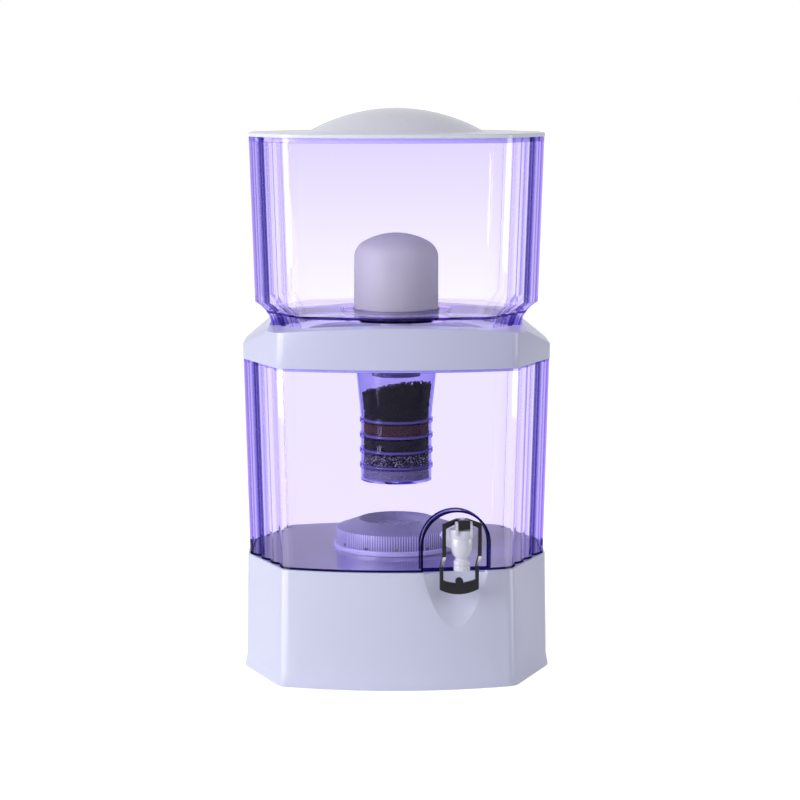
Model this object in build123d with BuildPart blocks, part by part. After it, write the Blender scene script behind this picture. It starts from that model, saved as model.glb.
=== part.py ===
# Gravity water filter: stand, lower tank with tap, collar, upper tank with ceramic dome and cartridge, lid.
# Millimetres, +Z up, front towards -Y, origin under the tank's axis on the surface it stands on.
import os
from math import asin, atan2, cos, pi, radians, sin, sqrt, tan

from build123d import *

os.makedirs("parts", exist_ok=True)

# Plan shape shared by every tier
corner_run = 41.0
front_bow = 20.0
side_flat = 38.0
flute_count = 4
flute_depth = 4.0
panel_edge_flat = 4.0
smooth_front_radius = 16.0
smooth_side_radius = 34.0

# Tank walls
wall = 3.0
floor_thickness = 3.0

# Stand
stand_height = 124.0
stand_recess = 2.0
stand_fit = 0.5
stand_wall = 3.0
stand_deck = 3.0
stand_lip_width = 2.8
stand_spread = 2.0
foot_height = 12.0
foot_flare = 2.4
rib_thickness = 2.0
rib_height = 18.0
rib_pitch = 80.0

# Lower tank
lower_half_width = 158.2
lower_half_depth = 144.0
lower_flare = 5.6
lower_height = 214.0

# Collar
collar_proud = 1.0
collar_wall = 3.0
collar_side_height = 15.5
collar_crown_height = 43.0
collar_break_height = 35.5
collar_break_x = 136.0
collar_deck_height = 28.0
collar_deck = 3.0
collar_opening_radius = 95.5
lip_depth = 3.0
lip_wall = 2.5
lip_clearance = 1.0
neck_clearance = 0.6

# Upper tank
neck_depth = 18.5
cove_height = 31.5
neck_drop = 1.5
upper_half_width = 151.0
upper_half_depth = 137.0
upper_flare = 5.6
upper_wall_height = 175.0
upper_floor_above_neck = 20.5
cove_steps = 5
well_radius = 58.0
well_wall = 2.5
well_depth = 9.5
well_floor = 3.0

# Lid
lid_overhang = 1.2
lid_edge = 4.3
lid_edge_round = 1.6
lid_skirt_depth = 4.8
lid_skirt_wall = 2.5
lid_wall = 2.5
lid_dome_radius = 95.6
lid_dome_height = 25.5

# Ceramic dome and its drain stem
dome_radius = 45.6
dome_side_height = 56.0
dome_corner_radius = 20.0
dome_corner_angle = 60.0
dome_wall = 8.0
cap_radius = 47.0
cap_height = 6.3
cap_rim_height = 1.5
dome_fit = 0.3
washer_thickness = 1.0
washer_radius = 40.0
stem_radius = 8.0
stem_bore_radius = 4.0
stem_length = 32.0
stem_hole_clearance = 0.6
thread_clearance = 0.3
nut_across_flats = 30.0
nut_height = 8.0

# Cartridge
cup_bottom = 198.8
cup_radius = 38.6
cup_wall = 2.2
cup_floor = 2.2
cup_straight_height = 71.0
cup_taper_height = 83.2
cup_top_radius = 47.0
ring_count = 4
ring_first = 16.3
ring_pitch = 16.6
ring_height = 5.0
ring_proud = 1.3
outlet_count = 8
outlet_radius = 2.6
outlet_circle = 22.0
cap_plate = 4.0
cap_hub_radius = 13.0
cap_hub_height = 7.0
cap_skirt_depth = 6.0
cap_skirt_wall = 1.6
media_fit = 0.3
pad_thickness = 2.4
carbon_depth = 35.0
carbon_tilt = 8.0
strainer_radius = 26.5
strainer_wall = 2.0
strainer_depth = 40.0
strainer_slot_count = 12
strainer_slot_width = 3.0
strainer_slot_margin = 8.0

# Mineral case on the lower tank's floor
case_flange_width = 4.0
case_flange_height = 5.0
case_radius = 64.5
case_wall = 2.2
case_side_height = 21.5
case_crest_radius = 40.5
case_crest_height = 30.5
case_dish_depth = 9.0
case_dish_radius = 34.0
case_plate = 2.0
case_rib_count = 144
case_rib_width = 1.3
case_rib_proud = 0.6
case_slot_count = 12
case_slot_width = 5.0
case_slot_height = 3.0
case_hole_radius = 2.0
case_hole_rings = ((10.0, 6), (19.0, 12), (28.0, 18))
stone_gap = 0.5

# Niche and scoop for the tap
niche_x = 60.7
niche_turn = 8.0
niche_depth = 12.0
niche_radius = 34.9
niche_height = 64.7
niche_wall = 2.4
scoop_radius = 54.0
scoop_drop = 44.0
scoop_wall = 3.0

# Tap
tap_axis_height = 37.0
tap_reach = 45.0
shank_radius = 8.0
shank_bore_radius = 3.8
shank_hole_clearance = 0.5
shank_tail = 17.0
shank_flange_radius = 12.5
shank_flange = 3.0
shank_neck_radius = 6.0
tap_washer_radius = 12.0
tap_washer = 1.5
tap_nut_flats = 24.0
tap_nut_height = 6.0
nozzle_radius = 8.5
nozzle_height = 10.5
nozzle_groove = 0.8
nozzle_bore_radius = 4.5
neck_radius = 6.6
neck_height = 2.5
bulb_radius = 11.4
bulb_rise = 11.0
body_height = 33.5
body_above_shank = 7.0
chamber_radius = 8.2
chamber_depth = 14.0
bonnet_radius = 12.6
bonnet_height = 9.5
bonnet_groove = 0.8

# Valve
valve_rod_radius = 2.4
valve_rod_clearance = 0.1
valve_disc_radius = 6.4
valve_disc = 2.0
valve_seal_thickness = 2.0
valve_seal_radius = 6.2
spring_mean_radius = 4.6
spring_wire_radius = 0.6
spring_turns = 4
spring_end_gap = 0.05

# Lever
pivot_ahead = 10.0
pivot_above = 6.0
pivot_radius = 1.5
pivot_running = 0.05
link_radius = 1.4
link_play = 0.15
hub_half_width = 5.8
hub_half_height = 4.6
hub_front = 4.0
head_half_width = 2.5
head_half_depth = 4.5
head_gap = 0.4
ear_thickness = 2.4
ear_half_depth = 3.5
ear_gap = 0.4
lever_half_width = 20.3
leg_width = 3.4
lever_depth = 4.6
beam_height = 4.6
beam_fall = 5.5
bend_drop = 34.5
bend_height = 13.0
bend_back = 15.0
pad_drop = 77.3
pad_height = 11.5
pad_bow = 5.0
pad_knob_radius = 3.9
pad_knob_rise = 2.0
trim_thickness = 0.8

# Heights that follow
lower_bottom = stand_height - stand_recess
lower_floor_top = lower_bottom + floor_thickness
lower_top = lower_bottom + lower_height
deck_top = lower_top + collar_deck_height
neck_bottom = deck_top
neck_top = neck_bottom + neck_drop
cove_top = neck_top + cove_height
upper_top = cove_top + upper_wall_height
upper_floor_bottom = neck_bottom + upper_floor_above_neck
upper_floor_top = upper_floor_bottom + floor_thickness
well_top = upper_floor_top - well_depth
well_bottom = well_top - well_floor


# Plan outline
def mitre(first, second):
    """Shift of the corner between two edges when both move in by one unit along their normals."""
    return (first + second) / (1 + first.dot(second))


def corner_points(half_width, half_depth, inset):
    """Ends of the right front corner: at the front panel and at the flat side."""
    panel = Vector(half_width - corner_run, -half_depth + front_bow)
    side = Vector(half_width, -side_flat)
    run = (side - panel).normalized()
    corner_normal = Vector(run.Y, -run.X)
    panel_angle = 2 * atan2(front_bow, panel.X)
    panel_normal = Vector(sin(panel_angle), -cos(panel_angle))
    panel_in = panel - mitre(panel_normal, corner_normal) * inset
    side_in = side - mitre(corner_normal, Vector(1, 0)) * inset
    return panel_in, side_in


def corner_flutes(panel, side):
    """Round vertical lobes between sharp grooves, along the line from panel to side."""
    run = side - panel
    inward = Vector(-run.Y, run.X).normalized() * flute_depth
    grooves = [panel]
    grooves += [panel + run * (index / flute_count) + inward for index in range(1, flute_count)]
    grooves += [side]
    for index in range(flute_count):
        crest = panel + run * ((index + 0.5) / flute_count)
        ThreePointArc(grooves[index], crest, grooves[index + 1])


def plan(height, half_width, half_depth, inset=0.0, fluted=False):
    """Closed plan outline at a height: bowed front and back, angled corners, flat sides."""
    panel, side = corner_points(half_width, half_depth, inset)
    with BuildSketch(Plane.XY.offset(height)) as outline:
        with BuildLine():
            if fluted:
                corner_flutes(panel, side)
            else:
                Line(panel, side)
            mirror(about=Plane.XZ)
            Line(side, (side.X, -side.Y))
            mirror(about=Plane.YZ)
            ThreePointArc((-panel.X, panel.Y), (0, -half_depth + inset), panel)
            ThreePointArc((-panel.X, -panel.Y), (0, half_depth - inset), (panel.X, -panel.Y))
        make_face()
        at_panel = [v for v in outline.vertices() if abs(abs(v.Y) + panel.Y) < 0.001]
        if fluted:
            chamfer(at_panel, panel_edge_flat)
        else:
            fillet(at_panel, smooth_front_radius)
            at_side = [v for v in outline.vertices() if abs(abs(v.Y) + side.Y) < 0.001]
            fillet(at_side, smooth_side_radius)
    return outline.sketch


# Directions and planes of the tap, square to the niche's back wall
tap_out = Vector(sin(radians(niche_turn)), -cos(radians(niche_turn)), 0)
tap_across = Vector(cos(radians(niche_turn)), sin(radians(niche_turn)), 0)
panel_half = lower_half_width - corner_run
bow_radius = (panel_half**2 + front_bow**2) / (2 * front_bow)
niche_front_y = -lower_half_depth + bow_radius - sqrt(bow_radius**2 - niche_x**2)
niche_back = Vector(niche_x, niche_front_y, 0) - tap_out * niche_depth


def facing(out):
    """Plane parallel to the niche's back wall: X across the tap, Y up."""
    return Plane(origin=niche_back + tap_out * out, x_dir=tap_across, z_dir=tap_out)


def side_on(across):
    """Upright plane along the tap's reach: X outwards from the niche's back wall, Y up."""
    return Plane(origin=niche_back + tap_across * across, x_dir=tap_out, z_dir=-tap_across)


def level(height):
    """Level plane at the tap: X across, -Y outwards."""
    return Plane(origin=niche_back + Vector(0, 0, height), x_dir=tap_across, z_dir=(0, 0, 1))


spout_axis = Axis(niche_back + tap_out * tap_reach, (0, 0, 1))


def niche_arch(out, grow):
    """Round-topped niche outline, open downwards, on the plane at a distance out of the back wall."""
    radius = niche_radius + grow
    spring = lower_bottom + niche_height - niche_radius
    legs = 3 * floor_thickness
    with BuildSketch(facing(out)) as arch:
        with BuildLine():
            Polyline(
                (-radius, spring),
                (-radius, lower_bottom - legs),
                (radius, lower_bottom - legs),
                (radius, spring),
            )
            ThreePointArc((radius, spring), (0, spring + radius), (-radius, spring))
        make_face()
    return arch.sketch


niche_span = niche_depth + 3 * front_bow

# Scoop: a cylinder laid on a slope that leaves the niche's back wall and comes out at the stand's face
scoop_slope = atan2(niche_depth, scoop_drop)
scoop_down = tap_out * sin(scoop_slope) - Vector(0, 0, cos(scoop_slope))
scoop_lift = tap_out * cos(scoop_slope) + Vector(0, 0, sin(scoop_slope))
scoop_start = niche_back + Vector(0, 0, stand_height) + scoop_lift * scoop_radius
scoop_plane = Plane(origin=scoop_start, x_dir=tap_across, z_dir=scoop_down)

# Stand
stand_half_width = lower_half_width + stand_lip_width
stand_half_depth = lower_half_depth + stand_lip_width


def stand_body(top, inset):
    """Sections of the stand up to a height: a flared foot, then slightly sloping walls."""
    share = (top - foot_height) / (stand_height - foot_height)
    spread = stand_spread * (1 - share)
    with BuildPart() as body:
        flare = stand_spread + foot_flare
        foot = [
            plan(0, stand_half_width + flare, stand_half_depth + flare, inset),
            plan(foot_height, stand_half_width + stand_spread, stand_half_depth + stand_spread, inset),
        ]
        loft(foot, ruled=True)
        walls = [
            plan(foot_height, stand_half_width + stand_spread, stand_half_depth + stand_spread, inset),
            plan(top, stand_half_width + spread, stand_half_depth + spread, inset),
        ]
        loft(walls, ruled=True)
    return body.part


deck_bottom = lower_bottom - stand_deck
with BuildPart() as stand_hollow:
    add(stand_body(deck_bottom, stand_wall))
    with BuildSketch(scoop_plane):
        Circle(scoop_radius + scoop_wall)
    extrude(amount=2 * stand_height, both=True, mode=Mode.SUBTRACT)
    with BuildSketch(Plane.XY.offset(deck_bottom - rib_height)):
        with GridLocations(rib_pitch, 0, 3, 1):
            Rectangle(rib_thickness, 4 * stand_half_depth)
        with GridLocations(0, rib_pitch, 1, 3):
            Rectangle(4 * stand_half_width, rib_thickness)
    extrude(amount=rib_height, mode=Mode.SUBTRACT)

with BuildPart() as base_stand:
    add(stand_body(stand_height, 0.0))
    top_edges = base_stand.faces().sort_by(Axis.Z)[-1].edges()
    fillet(top_edges, stand_recess * 0.75)
    extrude(plan(lower_bottom, lower_half_width, lower_half_depth, -stand_fit, fluted=True),
            amount=stand_recess, mode=Mode.SUBTRACT)
    add(stand_hollow.part, mode=Mode.SUBTRACT)
    with BuildSketch(scoop_plane):
        Circle(scoop_radius)
    extrude(amount=2 * stand_height, both=True, mode=Mode.SUBTRACT)

# Lower tank
lower_top_half_width = lower_half_width + lower_flare
lower_top_half_depth = lower_half_depth + lower_flare


def lower_section(height, inset):
    """Outline of the lower tank at a height."""
    flare = lower_flare * (height - lower_bottom) / lower_height
    return plan(height, lower_half_width + flare, lower_half_depth + flare, inset, fluted=True)


with BuildPart() as lower_hollow:
    loft([lower_section(lower_floor_top, wall), lower_section(lower_top, wall)], ruled=True)
    extrude(niche_arch(-wall, niche_wall), amount=niche_span, mode=Mode.SUBTRACT)

with BuildPart() as lower_tank:
    loft([lower_section(lower_bottom, 0.0), lower_section(lower_top, 0.0)], ruled=True)
    add(lower_hollow.part, mode=Mode.SUBTRACT)
    extrude(niche_arch(0.0, 0.0), amount=niche_span, mode=Mode.SUBTRACT)
    with BuildSketch(facing(0.0)):
        with Locations((0, lower_bottom + tap_axis_height)):
            Circle(shank_radius + shank_hole_clearance)
    extrude(amount=-2 * wall, mode=Mode.SUBTRACT)

# Upper tank, drawn from the neck up: straight neck, cove, flared walls
cove_radius = (neck_depth**2 + cove_height**2) / (2 * neck_depth)
cove_angle = asin(cove_height / cove_radius)


def cove_inset(height):
    """How far the neck and the cove are drawn in from the walls at a height."""
    rise = min(max(height - neck_top, 0.0), cove_height)
    return neck_depth - cove_radius + sqrt(cove_radius**2 - rise**2)


def upper_section(height, inset):
    """Outline of the upper tank at a height above the neck's foot."""
    flare = upper_flare * max(height - cove_top, 0.0) / upper_wall_height
    drawn_in = cove_inset(height) + inset
    return plan(height, upper_half_width + flare, upper_half_depth + flare, drawn_in, fluted=True)


def upper_body(inset, bottom):
    """Solid inside the upper tank's outline, drawn in by inset, from a height to the rim."""
    with BuildPart() as body:
        loft([upper_section(cove_top, inset), upper_section(upper_top, inset)], ruled=True)
        turns = [cove_angle * index / cove_steps for index in range(cove_steps + 1)]
        steps = [neck_top + cove_radius * sin(turn) for turn in turns]
        steps = [height for height in steps if height > bottom + 1.0]
        if bottom < neck_top:
            loft([upper_section(bottom, inset), upper_section(neck_top, inset)], ruled=True)
        else:
            steps = [bottom] + steps
        for low, high in zip(steps, steps[1:]):
            loft([upper_section(low, inset), upper_section(high, inset)], ruled=True)
    return body.part


with BuildPart() as upper_tank:
    add(upper_body(0.0, neck_bottom))
    add(upper_body(wall, neck_bottom), mode=Mode.SUBTRACT)
    floor_outline = upper_section(upper_floor_bottom, wall / 6)
    extrude(floor_outline, amount=floor_thickness)
    with BuildSketch(Plane.XY.offset(well_bottom)):
        Circle(well_radius + well_wall)
    extrude(amount=upper_floor_top - well_bottom)
    with BuildSketch(Plane.XY.offset(well_top)):
        Circle(well_radius)
    extrude(amount=well_depth, mode=Mode.SUBTRACT)
    with BuildSketch(Plane.XY.offset(well_bottom)):
        Circle(stem_radius + stem_hole_clearance)
    extrude(amount=well_floor, mode=Mode.SUBTRACT)

# Collar
collar_half_width = lower_top_half_width + collar_proud
collar_half_depth = lower_top_half_depth + collar_proud


def collar_roof(drop):
    """Front view of the collar's crown, lowered by drop: a low arch with steep shoulders."""
    reach = 2 * collar_half_width
    slope = (collar_break_height - collar_side_height) / (collar_half_width - collar_break_x)
    far_height = collar_side_height - slope * (reach - collar_half_width)
    with BuildSketch(Plane.XZ) as roof:
        with BuildLine():
            ThreePointArc(
                (-collar_break_x, lower_top + collar_break_height - drop),
                (0, lower_top + collar_crown_height - drop),
                (collar_break_x, lower_top + collar_break_height - drop),
            )
            Polyline(
                (collar_break_x, lower_top + collar_break_height - drop),
                (reach, lower_top + far_height - drop),
                (reach, -reach),
                (-reach, -reach),
                (-reach, lower_top + far_height - drop),
                (-collar_break_x, lower_top + collar_break_height - drop),
            )
        make_face()
    return roof.sketch


socket_inset = cove_inset(lower_top + collar_crown_height) - neck_clearance
neck_socket = plan(deck_top, upper_half_width, upper_half_depth, socket_inset, fluted=True)
socket_wall = plan(deck_top, upper_half_width, upper_half_depth, socket_inset - collar_wall)
flange_top = lower_top + collar_wall
lip_inset = wall + lip_clearance

with BuildPart() as collar_hollow:
    extrude(plan(flange_top, collar_half_width, collar_half_depth, collar_wall), amount=2 * collar_crown_height)
    extrude(collar_roof(collar_wall), amount=2 * collar_half_depth, both=True, mode=Mode.INTERSECT)
    extrude(socket_wall, amount=2 * collar_crown_height, mode=Mode.SUBTRACT)
    extrude(socket_wall, amount=-collar_deck, mode=Mode.SUBTRACT)
    lip_inner = lip_inset + lip_wall
    extrude(plan(lower_top - lip_depth, lower_top_half_width, lower_top_half_depth, lip_inner, fluted=True),
            amount=lip_depth + collar_wall)

with BuildPart() as collar:
    extrude(plan(lower_top, collar_half_width, collar_half_depth), amount=2 * collar_crown_height)
    extrude(collar_roof(0.0), amount=2 * collar_half_depth, both=True, mode=Mode.INTERSECT)
    extrude(plan(lower_top - lip_depth, lower_top_half_width, lower_top_half_depth, lip_inset, fluted=True),
            amount=lip_depth)
    add(collar_hollow.part, mode=Mode.SUBTRACT)
    extrude(neck_socket, amount=2 * collar_crown_height, mode=Mode.SUBTRACT)
    with BuildSketch(Plane.XY.offset(deck_top)):
        Circle(collar_opening_radius)
    extrude(amount=-collar_deck, mode=Mode.SUBTRACT)

# Lid
upper_top_half_width = upper_half_width + upper_flare
upper_top_half_depth = upper_half_depth + upper_flare
lid_top = upper_top + lid_edge
lid_sphere = (lid_dome_radius**2 + lid_dome_height**2) / (2 * lid_dome_height)
lid_centre_z = lid_top + lid_dome_height - lid_sphere

with BuildPart() as lid:
    extrude(plan(upper_top, upper_top_half_width + lid_overhang, upper_top_half_depth + lid_overhang),
            amount=lid_edge)
    fillet(lid.faces().sort_by(Axis.Z)[-1].edges(), lid_edge_round)
    extrude(plan(upper_top, upper_top_half_width, upper_top_half_depth, wall + lip_clearance, fluted=True),
            amount=-lid_skirt_depth)
    skirt_inset = wall + lip_clearance + lid_skirt_wall
    extrude(plan(upper_top, upper_top_half_width, upper_top_half_depth, skirt_inset, fluted=True),
            amount=-lid_skirt_depth, mode=Mode.SUBTRACT)
    with BuildSketch(Plane.XZ):
        with BuildLine():
            ThreePointArc(
                (0, lid_top + lid_dome_height),
                (lid_sphere * sin(asin(lid_dome_radius / lid_sphere) / 2),
                 lid_centre_z + lid_sphere * cos(asin(lid_dome_radius / lid_sphere) / 2)),
                (lid_dome_radius, lid_top),
            )
            Line((lid_dome_radius, lid_top), (0, lid_top))
            Line((0, lid_top), (0, lid_top + lid_dome_height))
        make_face()
    revolve(axis=Axis.Z)
    with BuildSketch(Plane.XZ):
        with Locations((0, lid_centre_z)):
            Circle(lid_sphere - lid_wall)
        with Locations((0, upper_top - lid_sphere)):
            Rectangle(4 * lid_sphere, 2 * lid_sphere, mode=Mode.SUBTRACT)
        with Locations((-lid_sphere, 0)):
            Rectangle(2 * lid_sphere, 8 * lid_sphere, mode=Mode.SUBTRACT)
    revolve(axis=Axis.Z, mode=Mode.SUBTRACT)

# Ceramic dome on its cap
washer_top = well_top + washer_thickness
cap_top = washer_top + cap_height
with BuildPart() as dome_washer:
    with BuildSketch(Plane.XY.offset(well_top)):
        Circle(washer_radius)
        Circle(stem_radius + stem_hole_clearance, mode=Mode.SUBTRACT)
    extrude(amount=washer_thickness)

with BuildPart() as ceramic_base_cap:
    with BuildSketch(Plane.XY.offset(washer_top)):
        Circle(cap_radius)
    extrude(amount=cap_height)
    with BuildSketch(Plane.XY.offset(cap_top)):
        Circle(cap_radius)
        Circle(dome_radius + dome_fit, mode=Mode.SUBTRACT)
    extrude(amount=cap_rim_height)
    with BuildSketch(Plane.XY.offset(washer_top)):
        Circle(stem_radius)
    extrude(amount=-stem_length)
    with BuildSketch(Plane.XY.offset(cap_top)):
        Circle(stem_bore_radius)
    extrude(amount=-(cap_height + stem_length), mode=Mode.SUBTRACT)


# Crown: a tight arc at the shoulder, then a wide arc centred on the axis
dome_shoulder = cap_top + dome_side_height
shoulder_centre = dome_radius - dome_corner_radius
corner_turn = radians(dome_corner_angle)
crown_radius = dome_corner_radius + shoulder_centre / cos(corner_turn)
crown_centre = dome_shoulder - shoulder_centre * tan(corner_turn)


def dome_half(inset):
    """Half profile of the dome, drawn in by inset: straight side, then a round crown."""
    radius = dome_radius - inset
    corner = dome_corner_radius - inset
    crown = crown_radius - inset
    meet = (shoulder_centre + corner * cos(corner_turn), dome_shoulder + corner * sin(corner_turn))
    half_corner = corner_turn / 2
    half_crown = (pi / 2 + corner_turn) / 2
    with BuildSketch(Plane.XZ) as half:
        with BuildLine():
            Polyline((0, crown_centre + crown), (0, cap_top), (radius, cap_top), (radius, dome_shoulder))
            ThreePointArc(
                (radius, dome_shoulder),
                (shoulder_centre + corner * cos(half_corner), dome_shoulder + corner * sin(half_corner)),
                meet,
            )
            ThreePointArc(
                meet,
                (crown * cos(half_crown), crown_centre + crown * sin(half_crown)),
                (0, crown_centre + crown),
            )
        make_face()
    return half.sketch


with BuildPart() as ceramic_dome:
    revolve(dome_half(0.0), axis=Axis.Z)
    revolve(dome_half(dome_wall), axis=Axis.Z, mode=Mode.SUBTRACT)

with BuildPart() as dome_lock_nut:
    with BuildSketch(Plane.XY.offset(well_bottom)):
        RegularPolygon(nut_across_flats / 2, 6, major_radius=False)
        Circle(stem_radius + thread_clearance, mode=Mode.SUBTRACT)
    extrude(amount=-nut_height)

# Cartridge
cup_top = cup_bottom + cup_straight_height + cup_taper_height
cup_inner = cup_radius - cup_wall
cup_floor_top = cup_bottom + cup_floor
taper_start = cup_bottom + cup_straight_height


def cup_half(bottom, inset):
    """Half profile of the cup, drawn in by inset: straight lower part, flared top."""
    with BuildSketch(Plane.XZ) as half:
        with BuildLine():
            Polyline(
                (0, bottom),
                (cup_radius - inset, bottom),
                (cup_radius - inset, taper_start),
                (cup_top_radius - inset, cup_top),
                (0, cup_top),
                close=True,
            )
        make_face()
    return half.sketch


with BuildPart() as cartridge_cup:
    revolve(cup_half(cup_bottom, 0.0), axis=Axis.Z)
    for index in range(ring_count):
        with BuildSketch(Plane.XY.offset(cup_bottom + ring_first + index * ring_pitch - ring_height / 2)):
            Circle(cup_radius + ring_proud)
        extrude(amount=ring_height)
    round_edges = cartridge_cup.edges().filter_by(GeomType.CIRCLE)
    ring_edges = [edge for edge in round_edges if abs(edge.radius - cup_radius - ring_proud) < 0.01]
    fillet(ring_edges, ring_proud * 0.7)
    revolve(cup_half(cup_floor_top, cup_wall), axis=Axis.Z, mode=Mode.SUBTRACT)
    with BuildSketch(Plane.XY.offset(cup_bottom)):
        with PolarLocations(outlet_circle, outlet_count):
            Circle(outlet_radius)
    extrude(amount=cup_floor, mode=Mode.SUBTRACT)

with BuildPart() as cartridge_cap:
    with BuildSketch(Plane.XY.offset(cup_top)):
        Circle(cup_top_radius + media_fit + cap_skirt_wall)
    extrude(amount=cap_plate)
    with BuildSketch(Plane.XY.offset(cup_top)):
        Circle(cup_top_radius + media_fit + cap_skirt_wall)
        Circle(cup_top_radius + media_fit, mode=Mode.SUBTRACT)
    extrude(amount=-cap_skirt_depth)
    with BuildSketch(Plane.XY.offset(cup_top + cap_plate)):
        Circle(cap_hub_radius)
    extrude(amount=cap_hub_height)
    with BuildSketch(Plane.XY.offset(cup_top)):
        Circle(stem_radius + thread_clearance)
    extrude(amount=cap_plate + cap_hub_height, mode=Mode.SUBTRACT)

strainer_bottom = cup_top - strainer_depth
with BuildPart() as inlet_strainer:
    with BuildSketch(Plane.XY.offset(strainer_bottom)):
        Circle(strainer_radius)
    extrude(amount=strainer_depth)
    with BuildSketch(Plane.XY.offset(strainer_bottom + strainer_wall)):
        Circle(strainer_radius - strainer_wall)
    extrude(amount=strainer_depth, mode=Mode.SUBTRACT)
    with BuildSketch(Plane.XY.offset(strainer_bottom + strainer_slot_margin)):
        with PolarLocations(strainer_radius, strainer_slot_count):
            Rectangle(4 * strainer_wall, strainer_slot_width)
    extrude(amount=strainer_depth - 2 * strainer_slot_margin, mode=Mode.SUBTRACT)

# Felt pads and media, stacked from the cup's floor up
media_radius = cup_inner - media_fit
ring_levels = [cup_bottom + ring_first + index * ring_pitch for index in range(ring_count)]
pad_levels = [cup_floor_top] + [height - pad_thickness / 2 for height in ring_levels]
filter_pads = []
for pad_level in pad_levels:
    with BuildPart() as filter_pad:
        with BuildSketch(Plane.XY.offset(pad_level)):
            Circle(media_radius)
        extrude(amount=pad_thickness)
    filter_pads.append(filter_pad)

bed_names = ["silica_bed", "grey_sand_bed", "black_ball_bed", "brown_ball_bed"]
media_beds = []
for low, high in zip(pad_levels, pad_levels[1:]):
    with BuildPart() as media_bed:
        with BuildSketch(Plane.XY.offset(low + pad_thickness)):
            Circle(media_radius)
        extrude(amount=high - low - pad_thickness)
    media_beds.append(media_bed)

carbon_bottom = pad_levels[-1] + pad_thickness
carbon_middle = carbon_bottom + carbon_depth
with BuildPart() as carbon_bed:
    revolve(cup_half(carbon_bottom, cup_wall + media_fit), axis=Axis.Z)
    tilt = radians(carbon_tilt)
    surface = Plane(origin=(0, 0, carbon_middle), z_dir=(-sin(tilt), 0, cos(tilt)))
    split(bisect_by=surface, keep=Keep.BOTTOM)

# Mineral case
case_bottom = lower_floor_top
case_floor = case_bottom + case_plate
with BuildPart() as mineral_case_base:
    with BuildSketch(Plane.XY.offset(case_bottom)):
        Circle(case_radius + case_flange_width)
    extrude(amount=case_flange_height)
    with BuildSketch(Plane.XY.offset(case_floor)):
        Circle(case_radius + media_fit)
    extrude(amount=case_flange_height, mode=Mode.SUBTRACT)

case_shoulder = case_bottom + case_side_height
case_crest = case_bottom + case_crest_height
dish_level = case_crest - case_dish_depth
with BuildPart() as mineral_case_cover:
    with BuildSketch(Plane.XZ):
        with BuildLine():
            Polyline(
                (case_radius, case_floor),
                (case_radius, case_shoulder),
                (case_crest_radius, case_crest),
                (case_dish_radius, dish_level),
                (0, dish_level),
                (0, dish_level - case_wall),
                (case_dish_radius - case_wall, dish_level - case_wall),
                (case_crest_radius - case_wall, case_crest - 2 * case_wall),
                (case_radius - case_wall, case_shoulder - case_wall),
                (case_radius - case_wall, case_floor),
                close=True,
            )
        make_face()
    revolve(axis=Axis.Z)
    with BuildSketch(Plane.XY.offset(case_bottom + case_flange_height)):
        with PolarLocations(case_radius, case_rib_count):
            Rectangle(2 * case_rib_proud, case_rib_width)
    extrude(amount=case_side_height - case_flange_height)
    with BuildSketch(Plane.XY.offset(case_bottom + case_flange_height)):
        with PolarLocations(case_radius, case_slot_count):
            Rectangle(4 * case_wall, case_slot_width)
    extrude(amount=case_slot_height, mode=Mode.SUBTRACT)
    with BuildSketch(Plane.XY.offset(dish_level)):
        for ring_radius, hole_count in case_hole_rings:
            with PolarLocations(ring_radius, hole_count):
                Circle(case_hole_radius)
    extrude(amount=-case_wall, mode=Mode.SUBTRACT)

stone_radius = case_radius - case_wall - stone_gap
stone_top = dish_level - case_wall - stone_gap
with BuildPart() as mineral_stones:
    with BuildSketch(Plane.XY.offset(case_floor)):
        Circle(stone_radius)
    extrude(amount=stone_top - case_floor)

# Tap body: nozzle, neck, bulb, with a shank through the niche's back wall
shank_height = lower_bottom + tap_axis_height
body_top = shank_height + body_above_shank
body_bottom = body_top - body_height
nozzle_top = body_bottom + nozzle_height
nozzle_middle = body_bottom + nozzle_height / 2
neck_top_height = nozzle_top + neck_height
bulb_top = neck_top_height + bulb_rise
chamber_bottom = body_top - chamber_depth


def at_spout(radius, height):
    """Point of the tap's side view at a distance from the spout's axis."""
    return (tap_reach + radius, height)


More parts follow.
